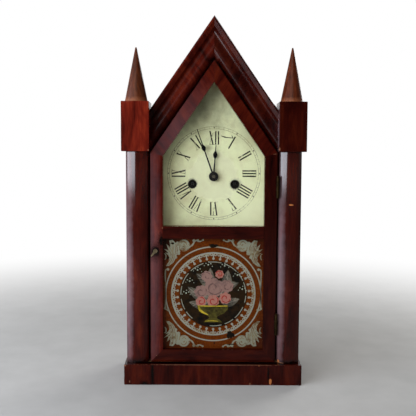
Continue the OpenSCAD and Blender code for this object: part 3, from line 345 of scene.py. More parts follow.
def film_paint(name, colour, worn_to, wear, cell_mm=2.0, coat=0.6, metallic=0.0):
    """Thin paint or bronze powder under glass or varnish, worn through in specks to what lies under it.
    wear is the share of the noise that shows the ground."""
    material, tree, shader = coated(name, coat, 0.06, 1.15, Metallic=metallic)
    specks = patches(tree, (cell_mm,) * 3, detail=4.0, roughness=0.7)
    soft = patches(tree, (cell_mm * 6,) * 3, shift=(3, 0, 5), detail=2.0)
    both = add(tree, "Mix", {0: 0.5, 2: specks, 3: soft})
    return finished(material, shader, lay(tree, worn_to, colour, both, wear, wear + 0.12))


# The winding holes lie this far either side of the dial's middle, at this height. The hands turn at HANDS_Z.
HOLE_X, HOLE_Z, HANDS_Z = 30.0, 278.6, 289.7


def dial_paint():
    """Zinc sheet with two coats of cream oil paint, brushed and aged: matt, faintly greenish, yellowed
    toward the edges, with dirt round the winding holes and the centre. It also carries painted shade under
    the frame's left side and the gable, and painted light at its lower right."""
    material, tree, shader = new_material("cream_oil_paint_on_zinc", Roughness=0.55, IOR=1.5)
    tint = colours()
    front = front_of("dial_plate")
    cloud = patches(tree, (34, 34, 34), detail=5.0, roughness=0.6)
    specks = patches(tree, (2.2, 2.2, 2.2), shift=(5, 0, 0))
    paint = lay(tree, tint.dial, tint.dial_stain, cloud, 0.4, 0.75, 0.65)
    paint = lay(tree, paint, "#7d7450", specks, 0.68, 0.76, 0.35)
    # The left edge and the gable's corner are darker and browner: paint that has browned there, and painted
    # shade where the frame shadows the dial. A darker patch lies to the upper right, and a lighter patch at
    # the lower right is painted light, where the most light falls. The smears round the holes are old oil,
    # and the rest are a halo round the centre and stains. Each is a centre, radii, edge, grain, share and
    # colour.
    for centre, radii, edge, grain, share, colour in (
            ((-82, 268), (26, 90), 0.95, 9, 0.55, "#9a8f62"),
            ((-14, 384), (52, 52), 0.95, 9, 0.75, "#55543a"),
            ((48, 352), (34, 34), 0.95, 9, 0.35, "#8f8a62"),
            ((52, 236), (60, 48), 0.95, 9, 0.8, "#f0f6c8"),
            ((0, HANDS_Z), (36, 36), 0.08, 9, 0.3, "#f4f6d4"),
            ((0, HANDS_Z), (33.5, 33.5), 0.08, 9, 0.4, "#d8dcb0"),
            ((HOLE_X + 1.5, HOLE_Z), (10.5, 10), 0.7, 2.2, 0.6, "#2c2a1a"),
            ((HOLE_X + 0.5, HOLE_Z - 0.5), (7.6, 7.4), 0.25, 1.6, 0.95, "#1c1a10"),
            ((-HOLE_X, HOLE_Z + 1), (8, 8.2), 0.4, 2.0, 0.8, "#2c2a1a"),
            ((4, 289), (15, 14), 0.9, 2.5, 0.35, "#8a7848"),
            ((-31.5, 258), (1.8, 1.4), 0.8, 2.5, 0.4, "#5c563c"),
            ((-8, 330), (8, 5), 0.8, 2.5, 0.4, "#5c563c")):
        mark = spot(tree, (centre[0], front, centre[1]), (radii[0], 40, radii[1]), edge, 0.35, grain)
        paint = lay(tree, paint, colour, mark, share=share)
    return finished(material, shader, paint, patches(tree, (1.2, 1.2, 26), detail=2.0), 0.15, 0.2)


def tablet_paint():
    """Reverse-painted glass: amber-brown ground seen through the pane, so it is glossy in front. It is darker
    towards the frame and near black in its upper left corner, has gone grainy, and has flaked off in a few
    places."""
    material, tree, shader = coated("amber_ground_on_glass", 0.9, 0.05, 1.15)
    low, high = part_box("tablet_glass")
    front, middle = low.y / MM, (low.z + high.z) / 2 / MM
    cloud = patches(tree, (20, 20, 20))
    grain = patches(tree, (2.4, 2.4, 2.4), shift=(1, 0, 2))
    ground = lay(tree, colours().tablet_ground, "#401a06", cloud, 0.35, 0.7, 0.8)
    ground = lay(tree, ground, "#73390d", grain, 0.42, 0.66, 0.5)
    edge = spot(tree, (0, front, middle), (86, 400, 94), edge=0.22, rough=0.1)
    ground = lay(tree, ground, "#33130a", edge, 1.0, 0.0, 0.7)
    corner = spot(tree, (-72, front, 206), (30, 400, 32), edge=0.9)
    return finished(material, shader, lay(tree, ground, "#15100a", corner))


# ---------- Thin films of paint, drawn in X and Z ----------
def on_dial(number=1):
    """A layer of print on the dial: the Y of its front, nearest the viewer, and its thickness."""
    film = size_mm("print_film")
    return front_of("dial_plate") - number * film, film


def on_glass(number):
    """A layer of paint on the tablet, of which layer 1 lies on the ground."""
    film = size_mm("paint_film")
    return front_of("tablet_glass") - number * film, film


def prism(bm, outline, layer):
    """A flat plate in a layer, with this outline of (x, z) points."""
    front, thick = layer
    near = [bm.verts.new((x * MM, front * MM, z * MM)) for x, z in outline]
    far = [bm.verts.new((x * MM, (front + thick) * MM, z * MM)) for x, z in outline]
    bm.faces.new(near)
    bm.faces.new(far[::-1])
    for i in range(len(outline)):
        j = (i + 1) % len(outline)
        bm.faces.new((near[j], near[i], far[i], far[j]))


def ribbon(bm, points, widths, layer, closed=False):
    """A brush stroke along points, with one width or a width at each of them, as one closed shell."""
    front, thick = layer
    count = len(points)
    rails = []
    for i, (x, z) in enumerate(points):
        ahead = points[(i + 1) % count] if closed else points[min(i + 1, count - 1)]
        back = points[i - 1] if closed else points[max(i - 1, 0)]
        dx, dz = ahead[0] - back[0], ahead[1] - back[1]
        size = math.hypot(dx, dz) or 1.0
        half = (widths[i] if hasattr(widths, "__len__") else widths) / 2
        sides = [(x - dz / size * half, z + dx / size * half), (x + dz / size * half, z - dx / size * half)]
        near, far = ([bm.verts.new((a * MM, y * MM, b * MM)) for a, b in sides]
                     for y in (front, front + thick))
        rails.append((near[0], near[1], far[1], far[0]))
    for i in range(count if closed else count - 1):
        one, two = rails[i], rails[(i + 1) % count]
        for k in range(4):
            bm.faces.new((one[k], two[k], two[(k + 1) % 4], one[(k + 1) % 4]))
    if not closed:
        bm.faces.new(rails[0])
        bm.faces.new(rails[-1][::-1])


def on_circle(middle, radius, angle, squash=1.0):
    """The point at an angle, in radians anticlockwise from the right. squash is an oval's height to width."""
    return middle[0] + radius * math.cos(angle), middle[1] + radius * squash * math.sin(angle)


def disc(bm, middle, radius, layer, sides, squash=1.0):
    """A round plate, or an oval one where squash isn't 1."""
    prism(bm, [on_circle(middle, radius, 2 * math.pi * i / sides, squash) for i in range(sides)], layer)


def ring(bm, middle, radius, width, layer, start=0.0, end=360.0):
    """A ring, or an arc of one from start to end degrees, anticlockwise from the right."""
    steps = max(2, round(abs(end - start) / 3))
    closed = abs(end - start) >= 360
    angles = [math.radians(start + (end - start) * i / steps) for i in range(steps + (0 if closed else 1))]
    ribbon(bm, [on_circle(middle, radius, angle) for angle in angles], width, layer, closed)


# The narrowest that a stroke gets, in millimetres
FINEST_LINE = 0.15


def curve_through(points, steps):
    """Smooth curve through the points, by Catmull-Rom pieces. A point may carry a width as a third number."""
    ends = [points[0]] + list(points) + [points[-1]]
    made = []
    for a, b, c, d in zip(ends, ends[1:], ends[2:], ends[3:]):
        for k in range(steps):
            t = k / steps
            made.append(tuple(0.5 * (2 * q + (r - p) * t + (2 * p - 5 * q + 4 * r - s) * t * t
                                     + (3 * q - p - 3 * r + s) * t ** 3) for p, q, r, s in zip(a, b, c, d)))
    return made + [tuple(points[-1])]


def stroke(bm, points, layer, steps=6, at=lambda x, z: (x, z)):
    """A brush stroke through (x, z, width) points, after at has moved them to their places."""
    path = curve_through([at(x, z) + (width,) for x, z, width in points], steps)
    ribbon(bm, [p[:2] for p in path], [max(FINEST_LINE, p[2]) for p in path], layer)


def put(name, data):
    """Puts an object with these data into the scene."""
    made = bpy.data.objects.new(name, data)
    bpy.context.scene.collection.objects.link(made)
    return made


def drawn(name, material, draw):
    """Makes a mesh object with draw(bmesh)."""
    bm = bmesh.new()
    draw(bm)
    bmesh.ops.recalc_face_normals(bm, faces=bm.faces)
    mesh = bpy.data.meshes.new(name)
    bm.to_mesh(mesh)
    bm.free()
    mesh.materials.append(material)
    return put(name, mesh)


def piece(name, body, material, draw):
    """A drawn piece, which rides on a body."""
    made = drawn(name, material, draw)
    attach(made, body)


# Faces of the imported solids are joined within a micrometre, and only edges sharper than this are worn
WELD_WITHIN = 0.001 * MM
ARRIS_ANGLE = math.radians(28)


def dress(nodes, material, arris=0.0):
    """Gives CAD nodes their material, and softens their edges by arris, a width in metres."""
    for name in nodes if isinstance(nodes, tuple) else [nodes]:
        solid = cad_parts[name]
        solid.data.materials.clear()
        solid.data.materials.append(material)
        if arris:
            weld = solid.modifiers.new("joined faces", "WELD")
            weld.merge_threshold = WELD_WITHIN
            worn = solid.modifiers.new("worn arris", "BEVEL")
            worn.width = arris
            worn.segments = 2
            worn.limit_method = "ANGLE"
            worn.angle_limit = ARRIS_ANGLE
            worn.harden_normals = False
            even = solid.modifiers.new("even shading", "WEIGHTED_NORMAL")
            even.keep_sharp = True


def veneer(nodes, name, tilt, seed, share=1.0, **looks):
    """Veneers CAD nodes with one sheet of mahogany. They get this share of the worn arris."""
    dress(nodes, mahogany("mahogany_" + name, tilt, seed, **looks), sizes().arris * share)


def metal(nodes, arris_mm, name, colour, tarnish, roughness, cell_mm, **more):
    """Dresses CAD nodes in one aged metal, with edges softened by arris_mm."""
    dress(nodes, aged_metal(name, colour, tarnish, roughness, cell_mm, **more), arris_mm * MM)


# ---------- Dial print ----------
NUMERALS = ("XII", "I", "II", "III", "IIII", "V", "VI", "VII", "VIII", "IX", "X", "XI")
RING_MIDDLE = (0.5, 293.8)
# Widths across the foot of each letter, and the gap between letters
LETTER_W = {"I": 1.5, "V": 6.4, "X": 6.0}
LETTER_GAP = 2.3
# Each letter's strokes: how far aside of its middle they start at the foot and end at the head, and
# whether they are thick
LETTER_STROKES = {"I": ((0, 0, True),),
                  "V": ((0.4, -2.4, True), (0.4, 2.7, False)),
                  "X": ((2.2, -2.2, True), (-2.5, 2.5, False))}
# Serifs run past the outer letters, and their width
SERIF_REACH, SERIF_W = 0.6, 0.5
# Half the width of the minute track, the widths of its circles and marks, and half an hour dot's width
# and height
TRACK_HALF, CIRCLE_W, MARK_W = 1.5, 0.4, 0.3
DOT_HALF_W, DOT_HALF_H = 0.95, 1.25


def polar(middle, radius, clockwise_deg, aside=0.0):
    """The point at a radius and a clock direction, moved aside across that radius."""
    angle = math.radians(clockwise_deg)
    return (middle[0] + radius * math.sin(angle) + aside * math.cos(angle),
            middle[1] + radius * math.cos(angle) - aside * math.sin(angle))


def draw_numerals(bm, thick_pass):
    """Thick strokes in one pass, thin strokes and serifs in the other, because they have worn apart."""
    foot, head = size_mm("numeral_in"), size_mm("numeral_out")
    thickness = size_mm("thick_stroke" if thick_pass else "thin_stroke")
    for hour, word in enumerate(NUMERALS):
        width = sum(LETTER_W[letter] for letter in word) + LETTER_GAP * (len(word) - 1)
        start = -width / 2
        for letter in word:
            middle = start + LETTER_W[letter] / 2
            for low, high, thick in LETTER_STROKES[letter]:
                if thick == thick_pass:
                    ribbon(bm, [polar(RING_MIDDLE, foot, hour * 30, middle + low),
                                polar(RING_MIDDLE, head, hour * 30, middle + high)], thickness, on_dial())
            start += LETTER_W[letter] + LETTER_GAP
        if not thick_pass:
            for radius in (foot, head):
                ribbon(bm, [polar(RING_MIDDLE, radius, hour * 30, side * (width / 2 + SERIF_REACH))
                            for side in (-1, 1)], SERIF_W, on_dial())


def draw_minute_track(bm):
    """Two thin circles with short marks between them at all minutes but the hours."""
    radii = [size_mm("minute_ring") + side * TRACK_HALF for side in (-1, 1)]
    for radius in radii:
        ring(bm, RING_MIDDLE, radius, CIRCLE_W, on_dial())
    for minute in range(60):
        if minute % 5:
            ribbon(bm, [polar(RING_MIDDLE, radius, minute * 6) for radius in radii], MARK_W, on_dial())


def draw_hour_dots(bm):
    """A small lozenge in the track at each hour."""
    for hour in range(12):
        x, z = polar(RING_MIDDLE, size_mm("minute_ring"), hour * 30)
        prism(bm, [(x, z + DOT_HALF_H), (x + DOT_HALF_W, z), (x, z - DOT_HALF_H), (x - DOT_HALF_W, z)],
              on_dial())


def draw_scratches(bm):
    """Two dark scratches by the first hour, left by a careless hand or key."""
    stroke(bm, [(10.5, 346.6, 0.6), (15, 345.2, 1.6), (19, 344.4, 1.2), (27, 343.8, 0.8)], on_dial())
    stroke(bm, [(25, 347.5, 0.5), (26.8, 344.5, 1.0), (26.6, 342.6, 0.5)], on_dial(1.5))


# ---------- Tablet ----------
TABLET_MIDDLE = (0.3, 124.7)
STEMS = 34
STEM_STEP = 360 / STEMS
OUTER_RING_W, STEM_RING_W = 1.7, 2.4
# The stems' radii and widths at foot, waist and tip, and the radius of the dot on each tip
STEM_RADII, STEM_WIDTHS, TIP_DOT = (57.6, 54.5, 50.4), (2.6, 1.7, 1.5), 1.75
# The lobes that stand in pairs between stems, and the eyes in them and in the stems' feet, as distance
# from the tablet's middle, place aside and radius
LOBES, LOBE_EYES, FOOT_EYES = (56.3, 2.5, 2.3), (56.2, 2.4, 1.15), (57.2, 0, 0.75)


def round_marks(bm, mark, number, layer, sides):
    """One mark, or a pair either side, in the direction of the stem of this number."""
    radius, aside, size = mark
    for place_aside in sorted({-aside, aside}):
        disc(bm, polar(TABLET_MIDDLE, radius, number * STEM_STEP, place_aside), size, layer, sides)


def draw_rings(bm):
    """The thin outer ring, and the ring that carries the stems and the pairs of lobes between them."""
    ring(bm, TABLET_MIDDLE, size_mm("outer_ring"), OUTER_RING_W, on_glass(1))
    ring(bm, TABLET_MIDDLE, size_mm("stem_ring"), STEM_RING_W, on_glass(1))
    for i in range(STEMS):
        stem = [polar(TABLET_MIDDLE, radius, i * STEM_STEP) for radius in STEM_RADII]
        ribbon(bm, stem, STEM_WIDTHS, on_glass(1.2))
        disc(bm, stem[-1], TIP_DOT, on_glass(1.3), sides=12)
        round_marks(bm, LOBES, i + 0.5, on_glass(1.1), sides=12)


def draw_ring_eyes(bm):
    """Small openings along the stem ring, where the ground shows through the stencil."""
    for i in range(STEMS):
        round_marks(bm, LOBE_EYES, i + 0.5, on_glass(2), sides=10)
        round_marks(bm, FOOT_EYES, i, on_glass(2), sides=8)


def draw_roundel(bm):
    """The dark disc behind the still life."""
    disc(bm, TABLET_MIDDLE, size_mm("roundel"), on_glass(1), sides=120)


# The broken light line runs this far inside the roundel's edge. Its dashes have a start and a length in
# degrees, clockwise from the top.
DASH_INSIDE, DASH_W = 1.9, 1.05
DASHES = ((-8, 22), (19, 26), (51, 14), (68, 20), (93, 12), (114, 24), (142, 17), (165, 21), (220, 16),
          (241, 20), (269, 15), (288, 22), (316, 26))


def draw_dashes(bm):
    """The broken light line."""
    for start, length in DASHES:
        ring(bm, TABLET_MIDDLE, size_mm("roundel") - DASH_INSIDE, DASH_W, on_glass(2),
             90 - start, 90 - start - length)


# Corner scroll, in millimetres right of and below the tablet's upper left corner
LEAF = [(3.6, 40), (7.6, 33), (8.6, 27.5), (7.0, 24.5), (2.4, 20.5), (7.6, 21.6), (0.8, 15.2), (7.4, 17.2),
        (4.4, 8.6), (10.0, 13.6), (9.4, 8.6), (8.4, 3.6), (13.4, 2.8), (16.8, 6.6), (19.6, 10.6),
        (24.0, 19.0), (22.0, 22.4), (18.6, 24.6), (17.6, 28.6), (14.0, 35.0), (8.0, 39.6)]
SCROLL_EYE = (28.8, 10.6)


def corners():
    """For each corner of the tablet, the map from the corner scroll's own numbers to X and Z. The lower two
    are a little shorter."""
    half, low, high = 70.1, 46.7, 204.1
    for side in (-1, 1):
        yield lambda a, b, side=side: (side * (half - a), high - b)
        yield lambda a, b, side=side: (side * (half - a), low + b * 0.98)


def draw_corner(bm, at):
    """The pale leaf, the scroll's eye, its tail and its hook."""
    prism(bm, [at(a, b) for a, b in LEAF], on_glass(1))
    disc(bm, at(*SCROLL_EYE), 8.4, on_glass(1.1), sides=28)
    for a, b, r in ((21.4, 21.8, 2.3), (36.2, 12.6, 1.9), (20.4, 8.4, 3.4), (17.8, 27.2, 1.9)):
        disc(bm, at(a, b), r, on_glass(1.2), sides=12)
    tail = [(34, 10, 3.2), (38, 11.2, 2.6), (41, 9.6, 2.2), (43.4, 5.4, 2.0), (46.4, 3.2, 1.8),
            (49.4, 4.6, 1.8), (52.6, 4.6, 1.6), (55.4, 2.6, 1.2)]
    stroke(bm, tail, on_glass(1.3), at=at)
    for a, b, r in ((42.8, 3.6, 1.9), (48.6, 3.0, 1.5), (55.6, 2.8, 1.4)):
        disc(bm, at(a, b), r, on_glass(1.4), sides=12)
    hook = [(2.2, 31, 1.2), (3.8, 27.6, 1.6), (3.4, 23.4, 1.4), (1.4, 22.4, 0.8)]
    stroke(bm, hook, on_glass(1.1), at=at)


def draw_corner_veins(bm, at):
    """Openings between the leaf's lobes and the scroll's eye, where the ground shows."""
    for line in ([(24.6, 8.0, 0.5), (27.6, 4.8, 0.9), (31.6, 6.2, 1.1), (32.8, 9.8, 0.6)],
                 [(26.4, 13.8, 0.5), (29.4, 15.6, 1.0), (32.0, 13.4, 0.5)],
                 [(28.0, 9.2, 0.6), (29.6, 9.4, 1.5), (30.4, 10.8, 0.6)],
                 [(8.0, 38.0, 0.3), (12.0, 30.0, 0.9), (13.6, 22.0, 1.0), (12.2, 12.0, 0.4)],
                 [(10.8, 26.6, 0.4), (10.4, 21.0, 0.8), (7.8, 17.6, 0.4)],
                 [(16.4, 24.0, 0.4), (17.6, 18.0, 0.9), (17.0, 12.0, 0.4)],
                 [(10.4, 9.0, 0.4), (12.6, 6.4, 1.1), (13.6, 9.6, 0.4)],
                 [(5.2, 37.0, 0.3), (9.2, 31.0, 0.7), (10.6, 27.4, 0.3)],
                 [(12.0, 36.0, 0.3), (15.2, 28.0, 0.8), (15.0, 21.0, 0.3)],
                 [(4.4, 16.6, 0.4), (8.6, 19.0, 0.6), (11.8, 24.0, 0.4)],
                 [(7.0, 12.0, 0.4), (10.4, 15.6, 0.7), (12.6, 20.6, 0.4)],
                 [(11.4, 4.6, 0.4), (13.8, 11.4, 0.6), (14.6, 18.0, 0.4)],
                 [(17.0, 8.6, 0.4), (19.4, 14.0, 0.8), (19.6, 20.0, 0.4)],
                 [(22.6, 12.0, 0.5), (23.6, 16.4, 0.9), (26.8, 18.0, 0.6), (31.0, 17.4, 0.4)],
                 [(35.4, 8.6, 0.4), (37.0, 10.4, 1.0), (39.6, 10.2, 0.4)]):
        stroke(bm, line, on_glass(2), 4, at)


def draw_side_bars(bm):
    """The thin bars by the frame, between the corners."""
    for side in (-1, 1):
        bar = [(63.4, 159.4, 1.4), (66.6, 159.0, 1.6), (67.3, 152, 1.8), (67.0, 140, 1.5), (67.2, 128, 1.2),
               (67.0, 116, 1.6), (67.2, 106, 2.2), (66.6, 102.4, 1.8), (63.0, 102.2, 1.4)]
        stroke(bm, bar, on_glass(1), at=lambda x, z: (side * x, z))
        for x, z, r in ((63.6, 159.6, 1.9), (63.4, 101.9, 2.0), (67.6, 104.0, 1.7)):
            disc(bm, (side * x, z), r, on_glass(1.1), sides=12)


# Middle, half width, half height and seed of each flake
FLAKES = (((0.3, 193.2), 6.4, 2.6, 1), ((24.6, 66.2), 5.4, 5.2, 2), ((26.0, 52.4), 5.8, 0.8, 3),
          ((2.2, 54.2), 1.1, 1.3, 4), ((-57.0, 196.4), 2.6, 1.2, 5), ((-64.0, 176.0), 1.6, 2.2, 6))


def draw_flakes(bm):
    """Places where the paint has come off the glass, filled with black as painted shade for the dark inside
    of the case that shows there.
    """
    for (x, z), half_w, half_h, seed in FLAKES:
        edge = []
        for i in range(26):
            angle = 2 * math.pi * i / 26
            uneven = 1 + 0.16 * math.sin(3 * angle + seed) + 0.1 * math.sin(7 * angle + 2 * seed)
            edge.append((x + half_w * uneven * math.cos(angle), z + half_h * uneven * math.sin(angle)))
        prism(bm, edge, on_glass(3))


# ---------- Still life in the roundel: a footed bowl of flowers and leaves ----------
# Leaves as root, tip, width and bend; flowers as middle and radius; sprigs of buds; the bowl's outline
SPRAYS = (((0, 120), (-36, 135), 15, 5), ((0, 122), (-24, 154), 16, -5), ((4, 124), (-4, 162), 15, 4),
          ((8, 122), (21, 159), 16, -4), ((8, 120), (36, 141), 15, 5), ((9, 116), (37, 118), 13, -4),
          ((-4, 114), (-34, 113), 13, 4))
ROSES = ((1, 134, 14.0), (-17, 128, 9.6), (19, 136, 9.6), (-9, 150, 8.0))
PINKS = ((17, 119, 8.6), (0, 115, 9.0), (-17, 114, 7.6), (9, 153, 6.2))
BUDS = ((-33, 146), (-22, 162), (-7, 169.5), (16, 168), (34, 155), (-38, 129), (41, 135))
# Each sprig's buds as place and radius. A flower's rings as petals, their reach and size as shares of its
# radius, and how many layers they are lifted.
SPRIG = ((0, -3, 1.125), (3.625, -1.5, 0.825), (-3.25, -1.125, 0.825), (0.625, 1, 0.75), (5.75, -5.25, 0.675),
         (-5.5, -4.5, 0.6))
PETAL_RINGS = ((7, 0.6, 0.42, 0.0), (5, 0.28, 0.36, 0.65))
BOWL = [(-23, 108.5), (22, 108.5), (20.5, 102.5), (15.5, 97), (7, 93.6), (5, 90.5), (10, 87.4), (13, 84.2),
        (-13, 84.2), (-10, 87.4), (-5, 90.5), (-7, 93.6), (-15.5, 97), (-21, 102.5)]


def on_leaf(leaf, share, aside=0.0):
    """The point at a share of a bent leaf's midrib, moved aside of it by a share of its width."""
    (x0, z0), (x1, z1), width, bend = leaf
    length = math.hypot(x1 - x0, z1 - z0)
    out = width * aside + bend * math.sin(math.pi * share)
    return (x0 + (x1 - x0) * share - (z1 - z0) / length * out,
            z0 + (z1 - z0) * share + (x1 - x0) / length * out)


# Steps along each side of a leaf
LEAF_STEPS = 8


def draw_sprays(bm):
    """The pointed leaves, each in a layer of its own."""
    shares = [k / LEAF_STEPS for k in range(LEAF_STEPS)]
    for number, leaf in enumerate(SPRAYS):
        edge = [on_leaf(leaf, share, side * math.sin(math.pi * share ** 0.85) ** 0.75 / 2)
                for side, along in ((1, shares), (-1, [1 - share for share in shares])) for share in along]
        prism(bm, edge, on_glass(2 + 0.1 * number))


def draw_spray_veins(bm):
    """The lit midrib of each leaf and three side veins."""
    for number, leaf in enumerate(SPRAYS):
        midrib = [on_leaf(leaf, share) + (w,) for share, w in ((0.1, 0.9), (0.5, 1.1), (0.95, 0.4))]
        stroke(bm, midrib, on_glass(3 + 0.1 * number), steps=4)
        for share in (0.4, 0.55, 0.7):
            stroke(bm, [on_leaf(leaf, share) + (0.7,), on_leaf(leaf, share + 0.12, 0.3) + (0.35,)],
                   on_glass(3.04 + 0.1 * number), steps=3)


def draw_flowers(bm, flowers, layer):
    """Full round flowers of two rings of petals, each petal in a layer of its own."""
    for number, (x, z, radius) in enumerate(flowers):
        for petals, reach, size, lift in PETAL_RINGS:
            for k in range(petals):
                angle = 2 * math.pi * k / petals + number * 0.7 + reach
                disc(bm, on_circle((x, z), radius * reach, angle), radius * size,
                     on_glass(layer + 0.08 * k + 0.01 * number + lift), sides=14, squash=0.92)


def draw_petal_strokes(bm, flowers, layer):
    """Curved strokes that lie round each flower's middle and part its petals."""
    for number, (x, z, radius) in enumerate(flowers):
        for k in range(11):
            share = 0.2 + 0.68 * ((k * 0.38) % 1)
            middle, half = k * 2.4 + number, 0.5 / (share + 0.35)
            bend = [on_circle((x, z), share * radius, middle + turn) + (width,)
                    for turn, width in ((-half, 0.3), (0.0, 1.5 if k % 2 else 1.0), (half, 0.3))]
            stroke(bm, bend, on_glass(layer + 0.04 * k), steps=5)


def draw_buds(bm):
    """Sprigs of small pale buds beyond the leaves."""
    for x, z in BUDS:
        for k, (dx, dz, radius) in enumerate(SPRIG):
            disc(bm, (x + dx, z + dz), radius, on_glass(3.9 + 0.01 * k), sides=10)


def draw_bowl(bm):
    """The bowl on its foot, over the lowest flowers."""
    prism(bm, BOWL, on_glass(6))


def draw_bowl_light(bm):
    """Light down the bowl's left side and along its rim and foot."""
    stroke(bm, [(-20.4, 106.6, 2.0), (-18, 101.6, 3.2), (-12.6, 97.6, 2.4), (-6.6, 95, 0.8)], on_glass(6.2))
    stroke(bm, [(-21.6, 107.8, 1.4), (0, 107.4, 1.7), (20.6, 107.8, 1.0)], on_glass(6.4))
    stroke(bm, [(-11, 85.8, 1.0), (-2, 86.4, 1.3), (7, 85.8, 0.6)], on_glass(6.2))


# ---------- Stage ----------
# The camera is fitted to the photograph's straight edges: metres, radians, and a 36 mm sensor
CAMERA_AT = (-0.006504, -0.89377, 0.31901)
CAMERA_PITCH, CAMERA_YAW, CAMERA_ROLL = 0.0844, 0.0014, 0.0045
CAMERA_LENS, SENSOR = 53.65, 36.0


def make_camera():
    """The photograph's camera."""
    lens = bpy.data.cameras.new("camera")
    lens.sensor_width, lens.lens = SENSOR, CAMERA_LENS
    camera = put("camera", lens)
    turn = (Matrix.Rotation(CAMERA_YAW, 4, "Z") @ Matrix.Rotation(math.pi / 2 - CAMERA_PITCH, 4, "X")
            @ Matrix.Rotation(CAMERA_ROLL, 4, "Z"))
    camera.matrix_world = Matrix.Translation(CAMERA_AT) @ turn
    bpy.context.scene.camera = camera


def make_lamp(name, at, aim, size, power, colour):
    """A rectangular lamp, aimed at a point. Places and size in metres, power in watts."""
    lamp = bpy.data.lights.new(name, "AREA")
    lamp.shape, lamp.size, lamp.size_y = "RECTANGLE", size[0], size[1]
    lamp.energy, lamp.color = power, linear(colour)[:3]
    made = put(name, lamp)
    made.location = at
    made.rotation_mode = "QUATERNION"
    made.rotation_quaternion = (Vector(aim) - Vector(at)).to_track_quat("-Z", "Y")


# Metres: half the floor's side, and where it starts and ends to fade
FLOOR_HALF = 30.0
FADE = (0.3, 1.2)


def draw_floor(bm):
    """One square face."""
    signs = ((-1, -1), (1, -1), (1, 1), (-1, 1))
    bm.faces.new([bm.verts.new((x * FLOOR_HALF, y * FLOOR_HALF, 0)) for x, y in signs])


def make_floor():
    """Plain pale floor with a soft mottle. Beyond arm's reach it fades to the white of the background for
    the camera, so the clock and its shadow stand in a plain studio."""
    material, tree, shader = new_material("plain_pale_floor", Roughness=0.9)
    finished(material, shader, lay(tree, "#b0afac", "#b9b8b5", patches(tree, (60, 60, 60)), 0.3, 0.7))
    away = add(tree, "VectorMath", {0: add(tree, "TexCoord", out="Object")}, out="Value", operation="LENGTH")
    far = add(tree, "MapRange", {0: away, 1: FADE[0], 2: FADE[1]}, interpolation_type="SMOOTHSTEP")
    seen = add(tree, "Math", {0: far, 1: add(tree, "LightPath", out="Is Camera Ray")}, operation="MULTIPLY")
    white = add(tree, "Emission", {"Color": "#ffffff", "Strength": 1.0})
    add(tree, "MixShader", {0: seen, 1: shader.outputs[0], 2: white},
        to=tree.nodes["Material Output"].inputs["Surface"])
    floor = drawn("floor", material, draw_floor)


def make_world():
    """White to the camera and through glass. Gloss sees a room that is white behind the clock and dark
    before it, which keeps the varnish as deep as in the photograph."""
    world = bpy.data.worlds.new("studio")
    bpy.context.scene.world = world
    world.use_nodes = True
    tree = world.node_tree
    tree.nodes.clear()
    back = add(tree, "SeparateXYZ", {0: add(tree, "TexCoord", out="Generated")}, out=1)
    room = add(tree, "MapRange", {0: back, 1: -0.3, 2: 0.7, 3: 0.02, 4: 1.0})
    fill = add(tree, "Background", {"Color": "#eef1f4", "Strength": 0.25})
    gloss = add(tree, "Background", {"Color": "#ffffff", "Strength": room})
    white = add(tree, "Background", {"Color": "#ffffff", "Strength": 1.0})
    ray = add(tree, "LightPath").node.outputs
    shiny = add(tree, "MixShader", {0: ray["Is Glossy Ray"], 1: fill, 2: gloss})
    seen = add(tree, "Math", {0: ray["Is Camera Ray"], 1: ray["Is Transmission Ray"]}, operation="MAXIMUM")
    add(tree, "OutputWorld", {"Surface": add(tree, "MixShader", {0: seen, 1: shiny, 2: white})})


# ---------- Operators ----------
# Behind this Y the front's veneered pieces show bare pine, as axis and millimetres
BARE_BEHIND = (1, -13.2)


